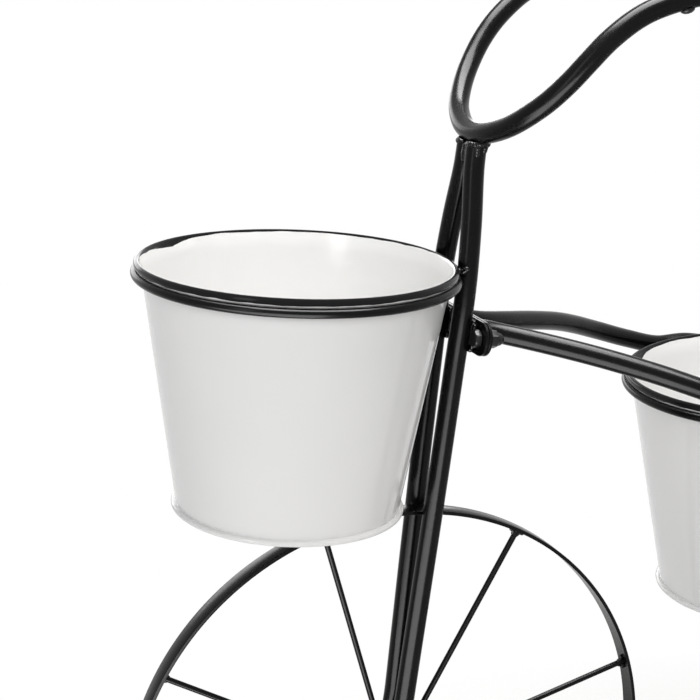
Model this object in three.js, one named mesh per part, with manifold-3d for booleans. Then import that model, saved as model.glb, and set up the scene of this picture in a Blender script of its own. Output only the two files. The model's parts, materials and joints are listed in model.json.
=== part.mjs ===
// Bicycle plant stand: a tricycle-shaped rack of bent steel tube that carries three lift-out pots.
// Millimetres, +Z up, front wheel towards -X, origin on the floor at the middle of the bounding box.
import * as THREE from 'three';
import * as BufferGeometryUtils from 'three/addons/utils/BufferGeometryUtils.js';
import Module from 'manifold-3d';

const wasm = await Module();
wasm.setup();

// Clearances
const seatGap = 0.3;          // between two pieces that seat on each other
const runningGap = 0.35;      // round a shaft or bolt in its hole
const cutOverrun = 2;         // how far a cutting tool runs past what it cuts

// Facets
const tubeSides = 10;
const rodSides = 8;
const forkSteps = 24;
const barSteps = 52;
const frameSteps = 46;
const roundSides = 12;
const wheelSides = 56;
const potSides = 36;
const hoopSides = 36;

// Tube and rod stock
const tubeRadius = 6.35;
const hoopRodRadius = 2.75;
const spokeRadius = 1.9;
const braceRadius = 4;
const flatEndThickness = 4;
const flatEndWidth = 18;

// Pots: pressed sheet, rolled rim, beaded foot
const potTopRadius = 92.6;        // outside of the wall, just under the roll
const potRollWidth = 4;
const potRollHeight = 5;
const potRollStand = 2.2;         // how far the roll's centre stands out from the wall
const potHeight = 154;            // top of the roll to the bottom of the bead
const potFootRadius = 69;         // outside of the wall, just above the bead
const potBeadRadius = 1.7;
const potBeadStand = 1.1;         // how far the bead's centre stands out from the wall
const hoopPlay = 0.4;             // between the wall's top and the hoop round it
const potWall = 1.1;
const potLipWidth = 3.4;          // turned-in lip that carries the base disc
const potBaseThickness = 1.2;

// Wheels
const frontWheelRadius = 178.5;
const rearWheelRadius = 120;
const rimWidth = 13.5;
const rimThickness = 2.4;
const spokeCount = 8;
const spokePhase = THREE.MathUtils.degToRad(28.2);   // first spoke, from straight up towards the rear
const hubRadius = 9;
const rearHubLength = 20;

// Fork
const forkRake = THREE.MathUtils.degToRad(5.42);
const hoopTopHeight = 515.9;      // top of the front hoop above the floor
const frontPotLean = THREE.MathUtils.degToRad(-1.1);   // its hoop dips a little towards the rear
const barSeatRise = 78.1;         // from the front hoop's top to the handlebar's axis at its lowest point
const crownHalfSpread = 18.2;     // widest half spacing of the leg axes
const legTwinShare = 1.024;       // half spacing where the legs run side by side, in tube radii
const hubLegShare = 0.43;         // half spacing at the hub, as a share of the widest
const spreadShares = [            // share of the rise from the axle, share of the widest half spacing
  [0.062, 0.435], [0.115, 0.467], [0.187, 0.53], [0.367, 0.7], [0.522, 0.825], [0.676, 0.915],
  [0.79, 0.995], [0.883, 0.77], [0.965, 0.4],
];

// Handlebar, as shares of its reach, half width and rise
const barReach = 174;
const barHalfWidth = 92;
const barRise = 89.3;
const barShares = [
  [0.007, 0.174, 0.019], [0.028, 0.341, 0.071], [0.053, 0.467, 0.138], [0.105, 0.624, 0.272],
  [0.155, 0.716, 0.406], [0.206, 0.771, 0.541], [0.266, 0.803, 0.675], [0.345, 0.836, 0.803],
  [0.407, 0.87, 0.873], [0.529, 0.93, 0.952], [0.678, 0.967, 0.988], [0.839, 0.989, 1], [1, 1, 1],
];
const plugFlangeLength = 3;
const plugFlangeStand = 0.6;
const barScrewRadius = 4.2;
const barScrewRise = 2;
const barScrewShare = 0.75;       // place of the screw along each half of the bar

// Bolted joint between fork and frame
const jointDrop = 42.4;           // below the front hoop's top
const plateThickness = 2;
const plateHeight = 21;
const padThickness = 2;           // raised middle of the fork plate, welded to both legs
const padHeight = 16;
const boltHalfSpacing = 27.4;
const boltRadius = 3;
const boltHeadFlats = 10;
const boltHeadHeight = 4;
const washerRadius = 6;
const washerThickness = 1.2;
const nutHeight = 4.5;
const nutDomeHeight = 3.2;

// Frame tubes, as shares of the run from the joint to the middle hoop
const tubeStartHalfSpacing = 13.5;
const tubeStartRise = 2;          // above the joint's middle
const middlePotSetback = 337.8;   // from the front pot's axis to the middle pot's
const middlePotDrop = 92.9;       // below the front pot
const middlePotLean = THREE.MathUtils.degToRad(2.9);   // its hoop dips towards the front
const bowShares = [
  [0.043, 0.0065, 0.029], [0.087, 0.041, 0.069], [0.175, 0.155, 0.141], [0.3065, 0.362, 0.257],
  [0.438, 0.572, 0.4], [0.526, 0.708, 0.516], [0.636, 0.851, 0.67], [0.7675, 0.954, 0.82], [0.886, 0.999, 0.93],
];
const rearPotPitch = 219;         // from the middle pot's axis to the rear pot's
const rearPotDrop = 148;          // below the front pot
const axleBehindPot = 90;         // from the rear pot's axis to the rear axle
const tailShares = [              // from the rear hoop to the axle: share of setback, share of drop
  [0.44, 0.052], [0.8, 0.13], [1.02, 0.262], [1.08, 0.42], [1.05, 0.64],
];

// Axles
const frontHubSideGap = 0.4;
const axleRodRadius = 4;
const axleNutFlats = 13;
const axleNutHeight = 6;
const axleNutDomeHeight = 5;
const axleWasherRadius = 8;
const axleWasherThickness = 1.6;

// Materials
const blackPaint = { color: 0x0b0b0c, roughness: 0.28, metalness: 0.35 };
const whiteEnamel = { color: 0xe4e4e3, roughness: 0.2, metalness: 0.05 };
const blackPlastic = { color: 0x101011, roughness: 0.55, metalness: 0 };
const darkZinc = { color: 0x1b1b1d, roughness: 0.38, metalness: 0.8 };

// Shape helpers

// Keeps positions only, merges shared vertices, drops collapsed triangles and turns the faces out.
function closeGeometry(source) {
  const bare = source.clone();
  for (const name of Object.keys(bare.attributes)) {
    if (name !== 'position') bare.deleteAttribute(name);
  }
  const merged = BufferGeometryUtils.mergeVertices(bare);
  const corners = merged.index.array;
  const kept = [];
  for (let i = 0; i < corners.length; i += 3) {
    const [a, b, c] = [corners[i], corners[i + 1], corners[i + 2]];
    if (a !== b && b !== c && c !== a) kept.push(a, b, c);
  }
  const p = merged.attributes.position;
  const [va, vb, vc] = [new THREE.Vector3(), new THREE.Vector3(), new THREE.Vector3()];
  let sixVolumes = 0;
  for (let i = 0; i < kept.length; i += 3) {
    va.fromBufferAttribute(p, kept[i]);
    vb.fromBufferAttribute(p, kept[i + 1]);
    vc.fromBufferAttribute(p, kept[i + 2]);
    sixVolumes += va.dot(vb.cross(vc));
  }
  if (sixVolumes < 0) {
    for (let i = 0; i < kept.length; i += 3) [kept[i], kept[i + 1]] = [kept[i + 1], kept[i]];
  }
  merged.setIndex(kept);
  return merged;
}

function toSolid(geometry) {
  const closed = closeGeometry(geometry);
  const vertProperties = new Float32Array(closed.attributes.position.array);
  const triVerts = new Uint32Array(closed.index.array);
  return new wasm.Manifold(new wasm.Mesh({ numProp: 3, vertProperties, triVerts }));
}

function fromSolid(solid) {
  const mesh = solid.getMesh();
  const geometry = new THREE.BufferGeometry();
  geometry.setAttribute('position', new THREE.BufferAttribute(new Float32Array(mesh.vertProperties), 3));
  geometry.setIndex(new THREE.BufferAttribute(new Uint32Array(mesh.triVerts), 1));
  return geometry;
}

function cut(body, ...tools) {
  return fromSolid(tools.reduce((left, tool) => left.subtract(toSolid(tool)), toSolid(body)));
}

function join(...bodies) {
  return fromSolid(bodies.slice(1).reduce((sum, body) => sum.add(toSolid(body)), toSolid(bodies[0])));
}

// A round bar along Z, centred on the origin.
function barAlongZ(radius, length, sides = roundSides) {
  return new THREE.CylinderGeometry(radius, radius, length, sides).rotateX(Math.PI / 2);
}

// A round bar along Y, centred on the origin.
function barAlongY(radius, length, sides = roundSides) {
  return new THREE.CylinderGeometry(radius, radius, length, sides);
}

function ringAlongZ(outer, inner, length, sides = roundSides) {
  const half = length / 2;
  const outline = [[inner, -half], [outer, -half], [outer, half], [inner, half], [inner, -half]];
  return new THREE.LatheGeometry(outline.map(([r, z]) => new THREE.Vector2(r, z)), sides).rotateX(Math.PI / 2);
}

// A tube swept along a curve; sectionAt gives its half thickness and half width at a share of the length.
// The thickness is measured towards the side vector.
function sweptTube(curve, steps, sides, side, sectionAt) {
  const positions = [];
  const corners = [];
  const towards = new THREE.Vector3();
  const across = new THREE.Vector3();
  for (let i = 0; i <= steps; i += 1) {
    const t = i / steps;
    const centre = curve.getPoint(t);
    const tangent = curve.getTangent(t);
    towards.copy(side).addScaledVector(tangent, -side.dot(tangent)).normalize();
    across.crossVectors(tangent, towards).normalize();
    const [halfThickness, halfWidth] = sectionAt(t, centre);
    for (let k = 0; k < sides; k += 1) {
      const angle = 2 * Math.PI * (k + 0.5) / sides;
      const point = centre.clone()
        .addScaledVector(towards, halfThickness * Math.cos(angle))
        .addScaledVector(across, halfWidth * Math.sin(angle));
      positions.push(point.x, point.y, point.z);
    }
  }
  for (let i = 0; i < steps; i += 1) {
    for (let k = 0; k < sides; k += 1) {
      const next = (k + 1) % sides;
      const [a, b] = [i * sides + k, i * sides + next];
      corners.push(a, b, b + sides, a, b + sides, a + sides);
    }
  }
  for (let k = 1; k < sides - 1; k += 1) {
    const last = steps * sides;
    corners.push(0, k + 1, k, last, last + k, last + k + 1);
  }
  const geometry = new THREE.BufferGeometry();
  geometry.setAttribute('position', new THREE.Float32BufferAttribute(positions, 3));
  geometry.setIndex(corners);
  return geometry;
}

function hexBolt(shankLength) {
  const head = barAlongZ(boltHeadFlats / Math.sqrt(3), boltHeadHeight, 6).rotateZ(Math.PI / 6)
    .translate(0, 0, -boltHeadHeight / 2);
  const shank = barAlongZ(boltRadius, shankLength + boltHeadHeight / 2, tubeSides)
    .translate(0, 0, shankLength / 2 - boltHeadHeight / 4);
  return join(head, shank);
}

// A domed nut whose open face lies at the origin and whose dome points along +Z.
function domedNut(flats, height, domeHeight, boreRadius, boreDepth) {
  const body = barAlongZ(flats / Math.sqrt(3), height, 6).rotateZ(Math.PI / 6).translate(0, 0, height / 2);
  const domeRadius = flats / 2 * 0.94;
  const dome = new THREE.SphereGeometry(domeRadius, tubeSides, rodSides)
    .rotateX(Math.PI / 2)
    .scale(1, 1, domeHeight / domeRadius)
    .translate(0, 0, height);
  const bore = barAlongZ(boreRadius, boreDepth + cutOverrun, tubeSides)
    .translate(0, 0, (boreDepth - cutOverrun) / 2);
  return cut(join(body, dome), bore);
}

// The model: a group whose X is measured from the front pot's axis, moved to the middle at the end
const stand = new THREE.Group();
const assembly = new THREE.Group();
stand.add(assembly);

function addMesh(name, geometry, look, parent = assembly) {
  const closed = closeGeometry(geometry);
  closed.computeVertexNormals();
  const mesh = new THREE.Mesh(closed, new THREE.MeshStandardMaterial(look));
  mesh.name = name;
  parent.add(mesh);
  return mesh;
}

// Pots and hoops

const hoopRadius = potTopRadius + hoopPlay + hoopRodRadius;
const hoopHalf = hoopRadius + hoopRodRadius;
const rearPotSetback = middlePotSetback + rearPotPitch;
const rearAxleSetback = rearPotSetback + axleBehindPot;

function potOutline() {
  const rollAxis = potHeight - potRollHeight / 2;
  const rollCentre = potTopRadius + potRollStand;
  const beadCentre = potFootRadius + potBeadStand;
  const outline = [];
  outline.push([potFootRadius - potWall - potLipWidth, 0]);
  for (const turn of [-90, -30, 30, 80]) {
    const a = THREE.MathUtils.degToRad(turn);
    outline.push([beadCentre + potBeadRadius * Math.cos(a), potBeadRadius * (1 + Math.sin(a))]);
  }
  outline.push([potTopRadius, rollAxis - potRollHeight * 0.45]);
  for (const turn of [-120, -75, -30, 15, 60, 105, 150]) {
    const a = THREE.MathUtils.degToRad(turn);
    outline.push([rollCentre + potRollWidth / 2 * Math.cos(a), rollAxis + potRollHeight / 2 * Math.sin(a)]);
  }
  const innerTop = potTopRadius - potWall;
  outline.push([innerTop, rollAxis - potRollHeight * 0.45]);
  outline.push([potFootRadius - potWall, potWall]);
  outline.push([potFootRadius - potWall - potLipWidth, potWall]);
  outline.push([potFootRadius - potWall - potLipWidth, 0]);
  return outline.map(([r, z]) => new THREE.Vector2(r, z));
}

function addPotAndHoop(name, x, hoopTop, lean) {
  const place = new THREE.Group();
  place.position.set(x, 0, hoopTop);
  place.rotation.y = -lean;
  assembly.add(place);

  const hoop = new THREE.TorusGeometry(hoopRadius, hoopRodRadius, rodSides, hoopSides);
  addMesh(`${name}_hoop`, hoop, blackPaint, place).position.z = -hoopRodRadius;

  const potBottom = seatGap - (potHeight - potRollHeight);
  const body = new THREE.LatheGeometry(potOutline(), potSides).rotateX(Math.PI / 2);
  addMesh(`${name}_pot_body`, body, whiteEnamel, place).position.z = potBottom;

  const discRadius = potFootRadius - potWall - seatGap;
  const disc = barAlongZ(discRadius, potBaseThickness, potSides);
  addMesh(`${name}_pot_base`, disc, whiteEnamel, place).position.z = potBottom
    + potWall + seatGap + potBaseThickness / 2;
}

const middleHoopTop = hoopTopHeight - middlePotDrop;
const rearHoopTop = hoopTopHeight - rearPotDrop;
addPotAndHoop('front', 0, hoopTopHeight, frontPotLean);
addPotAndHoop('middle', middlePotSetback, middleHoopTop, middlePotLean);
addPotAndHoop('rear', rearPotSetback, rearHoopTop, 0);

// Fork: two legs that touch at the top, open at the hoop and close on the hub

const hoopAxisHeight = hoopTopHeight - hoopRodRadius + hoopHalf * Math.sin(frontPotLean);
const legHoopDistance = hoopHalf + seatGap + tubeRadius;
const legHoopX = Math.sqrt(legHoopDistance ** 2 - crownHalfSpread ** 2);
const rakeSlope = Math.tan(forkRake);
const legX = (z) => legHoopX + (z - hoopAxisHeight) * rakeSlope;
const frontAxleX = legX(frontWheelRadius);
const hubLegSpacing = hubLegShare * crownHalfSpread;
const frontHubLength = 2 * (hubLegSpacing - flatEndThickness / 2 - frontHubSideGap);
const barSeatHeight = hoopTopHeight + barSeatRise;
const legTop = barSeatHeight - tubeRadius - seatGap;
const legRise = legTop - frontWheelRadius;
const legTwin = legTwinShare * tubeRadius;

function addForkLeg(name, sideSign) {
  const points = [[-flatEndWidth / 2 / legRise, hubLegShare], [0, hubLegShare]]
    .concat(spreadShares, [[1, legTwin / crownHalfSpread]])
    .map(([rise, spread]) => {
      const z = frontWheelRadius + rise * legRise;
      return new THREE.Vector3(legX(z), sideSign * spread * crownHalfSpread, z);
    });
  const curve = new THREE.CatmullRomCurve3(points, false, 'centripetal');
  const blendStart = frontWheelRadius + flatEndWidth * 0.7;
  const blendEnd = blendStart + flatEndWidth * 2.2;
  const section = (t, centre) => {
    const round = THREE.MathUtils.smoothstep(centre.z, blendStart, blendEnd);
    return [
      THREE.MathUtils.lerp(flatEndThickness / 2, tubeRadius, round),
      THREE.MathUtils.lerp(flatEndWidth / 2, tubeRadius, round),
    ];
  };
  const tube = sweptTube(curve, forkSteps, tubeSides, new THREE.Vector3(0, 1, 0), section);
  const hole = barAlongY(boltRadius + runningGap, flatEndThickness + 2 * cutOverrun, tubeSides)
    .translate(frontAxleX, sideSign * hubLegSpacing, frontWheelRadius);
  const trim = new THREE.BoxGeometry(barReach, barReach, barReach)
    .translate(legX(legTop), 0, legTop + barReach / 2);
  addMesh(name, cut(tube, hole, trim), blackPaint);
}

addForkLeg('fork_leg_left', -1);
addForkLeg('fork_leg_right', 1);

// Handlebar: one bent tube, mirrored about the middle

const barSeatX = legX(barSeatHeight);
const halfBar = barShares.map(([reach, half, rise]) => new THREE.Vector3(
  barSeatX + reach * barReach, half * barHalfWidth, barSeatHeight + rise * barRise));
const barPoints = [
  ...halfBar.map((p) => new THREE.Vector3(p.x, -p.y, p.z)).reverse(),
  new THREE.Vector3(barSeatX, 0, barSeatHeight),
  ...halfBar,
];
const barCurve = new THREE.CatmullRomCurve3(barPoints, false, 'centripetal');
const barSide = new THREE.Vector3(-1, 0, 0.75).normalize();
const roundSection = () => [tubeRadius, tubeRadius];
addMesh('handlebar', sweptTube(barCurve, barSteps, tubeSides, barSide, roundSection), blackPaint);

function addBarEnd(name, t, sideSign) {
  const end = barCurve.getPoint(t);
  const out = barCurve.getTangent(t).multiplyScalar(sideSign);
  const plug = barAlongZ(tubeRadius + plugFlangeStand, plugFlangeLength, roundSides);
  const mesh = addMesh(`bar_plug_${name}`, plug, blackPlastic);
  mesh.quaternion.setFromUnitVectors(new THREE.Vector3(0, 0, 1), out);
  mesh.position.copy(end).addScaledVector(out, seatGap + plugFlangeLength / 2);
}

addBarEnd('left', 0, -1);
addBarEnd('right', 1, 1);

// A domed screw under each grip, its head against the tube
function addBarScrew(name, t) {
  const centre = barCurve.getPoint(t);
  const along = barCurve.getTangent(t);
  const down = new THREE.Vector3(0, 0, -1).addScaledVector(along, along.z).normalize();
  const head = new THREE.SphereGeometry(barScrewRadius, tubeSides, rodSides)
    .rotateX(Math.PI / 2)
    .scale(1, 1, (barScrewRise + barScrewRise) / barScrewRadius);
  const tubeSpace = barAlongY(tubeRadius + seatGap, barScrewRadius * 4, tubeSides * 2)
    .translate(0, 0, -tubeRadius - seatGap);
  const mesh = addMesh(`bar_screw_${name}`, cut(head, tubeSpace), darkZinc);
  const basis = new THREE.Matrix4().makeBasis(new THREE.Vector3().crossVectors(along, down), along, down);
  mesh.quaternion.setFromRotationMatrix(basis);
  mesh.position.copy(centre).addScaledVector(down, tubeRadius + seatGap);
}

addBarScrew('left', (1 - barScrewShare) / 2);
addBarScrew('right', (1 + barScrewShare) / 2);

// Bolted joint: two oblong plates face to face, square to the raked fork

const jointHeight = hoopTopHeight - jointDrop;
const joint = new THREE.Group();
joint.position.set(legX(jointHeight), 0, jointHeight);
joint.rotation.y = forkRake;
assembly.add(joint);

const padFront = tubeRadius + seatGap;
const forkPlateFront = padFront + padThickness;
const framePlateFront = forkPlateFront + plateThickness + seatGap;
const jointBack = framePlateFront + plateThickness;

function oblongPlate() {
  const half = plateHeight / 2;
  const outline = new THREE.Shape();
  outline.absarc(boltHalfSpacing, 0, half, -Math.PI / 2, Math.PI / 2, false);
  outline.absarc(-boltHalfSpacing, 0, half, Math.PI / 2, Math.PI * 1.5, false);
  for (const y of [-boltHalfSpacing, boltHalfSpacing]) {
    const hole = new THREE.Path();
    hole.absarc(y, 0, boltRadius + seatGap, 0, 2 * Math.PI, true);
    outline.holes.push(hole);
  }
  return new THREE.ExtrudeGeometry(outline, { depth: plateThickness, bevelEnabled: false, curveSegments: 10 })
    .rotateX(Math.PI / 2).rotateZ(Math.PI / 2);
}

const padHalfWidth = boltHalfSpacing - boltHeadFlats / 2 - cutOverrun;
const pad = new THREE.BoxGeometry(padThickness + plateThickness / 2, 2 * padHalfWidth, padHeight)
  .translate(plateThickness / 4 - padThickness / 2, 0, 0);
addMesh('fork_plate', join(oblongPlate(), pad), blackPaint, joint).position.x = forkPlateFront;
addMesh('frame_plate', oblongPlate(), blackPaint, joint).position.x = framePlateFront;

function addJointBolt(name, sideSign) {
  const place = new THREE.Group();
  place.position.y = sideSign * boltHalfSpacing;
  place.rotation.y = Math.PI / 2;
  joint.add(place);
  const headSeat = forkPlateFront - seatGap;
  const nutSeat = jointBack + 2 * seatGap + washerThickness;
  const shankLength = nutSeat + nutHeight - headSeat;
  addMesh(`joint_bolt_${name}`, hexBolt(shankLength), darkZinc, place).position.z = headSeat;
  const washer = ringAlongZ(washerRadius, boltRadius + seatGap, washerThickness, roundSides);
  const washerMiddle = jointBack + seatGap + washerThickness / 2;
  addMesh(`joint_washer_${name}`, washer, darkZinc, place).position.z = washerMiddle;
  const nut = domedNut(boltHeadFlats, nutHeight, nutDomeHeight, boltRadius + seatGap, nutHeight + seatGap);
  addMesh(`joint_nut_${name}`, nut, darkZinc, place).position.z = nutSeat;
}

addJointBolt('left', -1);
addJointBolt('right', 1);

// Frame tubes: from the joint plate out round the middle pot, on to the rear hoop and down to the axle

const tubeHalfSpacing = hoopHalf + seatGap + tubeRadius;
const middleHoopAxis = middleHoopTop - hoopRodRadius;
const rearHoopAxis = rearHoopTop - hoopRodRadius;
const startX = legX(jointHeight) + jointBack - tubeRadius / 2;
const bowRun = middlePotSetback - startX;
const bowOut = tubeHalfSpacing - tubeStartHalfSpacing;
const tubeStartHeight = jointHeight + tubeStartRise;
const bowDrop = tubeStartHeight - middleHoopAxis;
const tailRun = rearAxleSetback - rearPotSetback;
const tailDrop = rearHoopAxis - rearWheelRadius;

function frameCurve(sideSign) {
  const points = [[0, 0, 0]].concat(bowShares, [[1, 1, 1]]).map(([run, out, drop]) => new THREE.Vector3(
    startX + run * bowRun, tubeStartHalfSpacing + out * bowOut, tubeStartHeight - drop * bowDrop));
  const betweenPots = (share) => new THREE.Vector3(
    THREE.MathUtils.lerp(middlePotSetback, rearPotSetback, share),
    tubeHalfSpacing,
    THREE.MathUtils.lerp(middleHoopAxis, rearHoopAxis, share));
  points.push(betweenPots(0.33), betweenPots(0.67), betweenPots(1));
  for (const [run, drop] of tailShares) {
    points.push(new THREE.Vector3(rearPotSetback + run * tailRun, tubeHalfSpacing, rearHoopAxis - drop * tailDrop));
  }
  points.push(new THREE.Vector3(rearAxleSetback, tubeHalfSpacing, rearWheelRadius));
  const before = points[points.length - 2];
  const beyond = points[points.length - 1].clone().sub(before).setLength(flatEndWidth / 2);
  points.push(points[points.length - 1].clone().add(beyond));
  for (const point of points) point.y *= sideSign;
  return new THREE.CatmullRomCurve3(points, false, 'centripetal');
}

function addFrameTube(name, sideSign) {
  const blendStart = rearWheelRadius + flatEndWidth * 1.2;
  const blendEnd = blendStart + flatEndWidth * 1.3;
  const section = (t, centre) => {
    const round = t < 0.5 ? 1 : THREE.MathUtils.smoothstep(centre.z, blendStart, blendEnd);
    return [
      THREE.MathUtils.lerp(flatEndThickness / 2, tubeRadius, round),
      THREE.MathUtils.lerp(flatEndWidth / 2, tubeRadius, round),
    ];
  };
  const tube = sweptTube(frameCurve(sideSign), frameSteps, tubeSides, new THREE.Vector3(0, 1, 0), section);
  const hole = barAlongY(axleRodRadius + runningGap, flatEndThickness + 2 * cutOverrun, tubeSides)
    .translate(rearAxleSetback, sideSign * tubeHalfSpacing, rearWheelRadius);
  const plateSide = new THREE.BoxGeometry(barReach, barReach, barReach)
    .translate(jointBack + seatGap - barReach / 2, 0, 0)
    .rotateY(forkRake)
    .translate(legX(jointHeight), 0, jointHeight);
  addMesh(name, cut(tube, hole, plateSide), blackPaint);
}

addFrameTube('frame_tube_left', -1);
addFrameTube('frame_tube_right', 1);

// Cross brace between the frame tubes, half way between the two rear hoops
const braceX = (middlePotSetback + rearPotSetback) / 2;
const braceZ = (middleHoopAxis + rearHoopAxis) / 2;
const braceLength = 2 * (tubeHalfSpacing - tubeRadius - seatGap);
addMesh('cross_brace', barAlongY(braceRadius, braceLength, tubeSides), blackPaint)
  .position.set(braceX, 0, braceZ);

// Wheels: flat band, round spokes, short hub; the lowest facet lies flat on the floor

function rimGeometry(radius) {
  const corner = 1 / Math.cos(Math.PI / wheelSides);
  const [outer, inner, half] = [radius * corner, (radius - rimThickness) * corner, rimWidth / 2];
  const outline = [[inner, -half], [outer, -half], [outer, half], [inner, half], [inner, -half]];
  return new THREE.LatheGeometry(
    outline.map(([r, y]) => new THREE.Vector2(r, y)), wheelSides, Math.PI / wheelSides);
}

function hubGeometry(length, boreRadius) {
  return ringAlongZ(hubRadius, boreRadius, length, roundSides).rotateX(Math.PI / 2);
}

const spokeAngle = (k) => spokePhase + 2 * Math.PI * k / spokeCount;

function addFrontWheel() {
  const wheel = new THREE.Group();
  wheel.position.set(frontAxleX, 0, frontWheelRadius);
  assembly.add(wheel);
  addMesh('front_rim', rimGeometry(frontWheelRadius), blackPaint, wheel);
  addMesh('front_hub', hubGeometry(frontHubLength, boltRadius + runningGap), blackPaint, wheel);
  const inner = hubRadius + seatGap;
  const length = frontWheelRadius - rimThickness - seatGap - inner;
  for (let k = 0; k < spokeCount; k += 1) {
    const spoke = barAlongZ(spokeRadius, length, rodSides).translate(0, 0, inner + length / 2);
    addMesh(`front_spoke_${k + 1}`, spoke, blackPaint, wheel).rotation.y = spokeAngle(k);
  }
}

function addRearWheel(name, sideSign, y) {
  const wheel = new THREE.Group();
  wheel.position.set(rearAxleSetback, sideSign * y, rearWheelRadius);
  assembly.add(wheel);
  addMesh(`rear_rim_${name}`, rimGeometry(rearWheelRadius), blackPaint, wheel);
  const length = rearWheelRadius - rimThickness - seatGap;
  const spokes = [];
  for (let k = 0; k < spokeCount; k += 1) {
    const spoke = barAlongZ(spokeRadius, length - hubRadius / 2, rodSides)
      .translate(0, 0, hubRadius / 2 + (length - hubRadius / 2) / 2);
    spokes.push(spoke.rotateY(spokeAngle(k)));
  }
  const bore = barAlongY(axleRodRadius + runningGap, rearHubLength + 2 * cutOverrun, roundSides);
  const star = cut(join(barAlongY(hubRadius, rearHubLength, roundSides), ...spokes), bore);
  addMesh(`rear_spokes_${name}`, star, blackPaint, wheel);
}

addFrontWheel();

// Front axle: an M6 bolt through both flattened leg ends
const legOuterFace = hubLegSpacing + flatEndThickness / 2;
const axleBoltSeat = legOuterFace + seatGap;
const axleBolt = new THREE.Group();
axleBolt.position.set(frontAxleX, 0, frontWheelRadius);
axleBolt.rotation.x = -Math.PI / 2;
assembly.add(axleBolt);
addMesh('front_axle_bolt', hexBolt(2 * axleBoltSeat + nutHeight), darkZinc, axleBolt).position.z = -axleBoltSeat;
const frontNut = domedNut(boltHeadFlats, nutHeight, nutDomeHeight, boltRadius + seatGap, nutHeight + seatGap);
addMesh('front_axle_nut', frontNut, darkZinc, axleBolt).position.z = axleBoltSeat;

// Rear axle: one rod through the frame tubes' flattened ends, a washer, a wheel and a domed nut on each side
const washerInner = tubeHalfSpacing + flatEndThickness / 2 + seatGap;
const rearWasher = axleWasherThickness + (tubeRadius - flatEndThickness / 2);
const rearHubInner = washerInner + rearWasher + seatGap;
const rearWheelY = rearHubInner + rearHubLength / 2;
const axleNutSeat = rearHubInner + rearHubLength + seatGap;
const axleHalf = axleNutSeat + axleNutHeight;
addMesh('rear_axle', barAlongY(axleRodRadius, 2 * axleHalf, roundSides), darkZinc)
  .position.set(rearAxleSetback, 0, rearWheelRadius);

for (const [name, sideSign] of [['left', -1], ['right', 1]]) {
  addRearWheel(name, sideSign, rearWheelY);
  const place = new THREE.Group();
  place.position.set(rearAxleSetback, 0, rearWheelRadius);
  place.rotation.x = -sideSign * Math.PI / 2;
  assembly.add(place);
  const spacer = ringAlongZ(axleWasherRadius, axleRodRadius + seatGap, rearWasher, roundSides);
  addMesh(`rear_spacer_${name}`, spacer, darkZinc, place).position.z = washerInner + rearWasher / 2;
  const nut = domedNut(
    axleNutFlats, axleNutHeight, axleNutDomeHeight, axleRodRadius + seatGap, axleNutHeight + seatGap);
  addMesh(`rear_axle_nut_${name}`, nut, darkZinc, place).position.z = axleNutSeat;
}

const frontEnd = Math.min(frontAxleX - frontWheelRadius, -hoopHalf);
const rearEnd = rearAxleSetback + rearWheelRadius;
assembly.position.x = -(frontEnd + rearEnd) / 2;

export default stand;
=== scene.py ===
"""The looks of the bicycle plant stand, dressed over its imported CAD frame.

Sizes are in millimetres. Those of the floor, the lamps and the materials' bumps are in metres.
"""
import json
import math
import random

import bmesh
import bpy
from mathutils import Matrix, Vector, noise

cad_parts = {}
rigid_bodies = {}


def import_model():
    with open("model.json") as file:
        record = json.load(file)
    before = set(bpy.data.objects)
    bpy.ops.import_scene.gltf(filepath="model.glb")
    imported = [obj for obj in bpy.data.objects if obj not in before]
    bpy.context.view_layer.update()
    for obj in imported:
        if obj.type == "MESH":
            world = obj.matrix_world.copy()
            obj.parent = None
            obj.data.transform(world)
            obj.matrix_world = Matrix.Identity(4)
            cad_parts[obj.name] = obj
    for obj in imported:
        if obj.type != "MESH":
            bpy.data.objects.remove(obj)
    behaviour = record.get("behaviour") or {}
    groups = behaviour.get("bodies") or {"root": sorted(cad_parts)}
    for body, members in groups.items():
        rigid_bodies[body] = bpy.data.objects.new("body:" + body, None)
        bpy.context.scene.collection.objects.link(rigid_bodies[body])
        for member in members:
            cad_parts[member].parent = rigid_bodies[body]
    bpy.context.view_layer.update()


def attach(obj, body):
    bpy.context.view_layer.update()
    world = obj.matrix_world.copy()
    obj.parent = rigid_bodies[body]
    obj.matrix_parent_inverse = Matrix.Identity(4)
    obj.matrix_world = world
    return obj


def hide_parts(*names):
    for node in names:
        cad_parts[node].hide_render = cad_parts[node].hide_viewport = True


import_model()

MM = 0.001
MERGE_DISTANCE = 0.0001

# Places and sizes repeated from the CAD, X measured from the front pot's axis
SHIFT_X = -330.145
TUBE_R = 6.35
HOOP_R = 95.75
HOOP_ROD_R = 2.75
HOOP_OUTER_R = HOOP_R + HOOP_ROD_R
SEAT_GAP = 0.3
HOOP_TOPS = {"front": (0.0, 515.9), "middle": (337.8, 423.0), "rear": (556.8, 367.9)}
LEANS = {"front": math.radians(-1.1), "middle": math.radians(2.9), "rear": 0.0}
FRONT_WHEEL_R = 178.5
REAR_WHEEL_R = 120.0
RIM_WIDTH = 13.5
RIM_THICKNESS = 2.4
SPOKE_R = 1.9
SPOKE_PHASE = math.radians(28.2)
SPOKES = 8
HUB_R = 9.0
RAKE = math.radians(5.42)
CROWN_HALF_Y = 18.2
LEG_HOOP_X = math.sqrt((HOOP_OUTER_R + SEAT_GAP + TUBE_R) ** 2 - CROWN_HALF_Y**2)
HOOP_AXIS_Z = HOOP_TOPS["front"][1] - HOOP_ROD_R + HOOP_OUTER_R * math.sin(LEANS["front"])
JOINT_Z = 473.5
TUBE_HALF_Y = HOOP_OUTER_R + SEAT_GAP + TUBE_R
REAR_AXLE_X = 646.8
REAR_WHEEL_Y = 123.7
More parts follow.
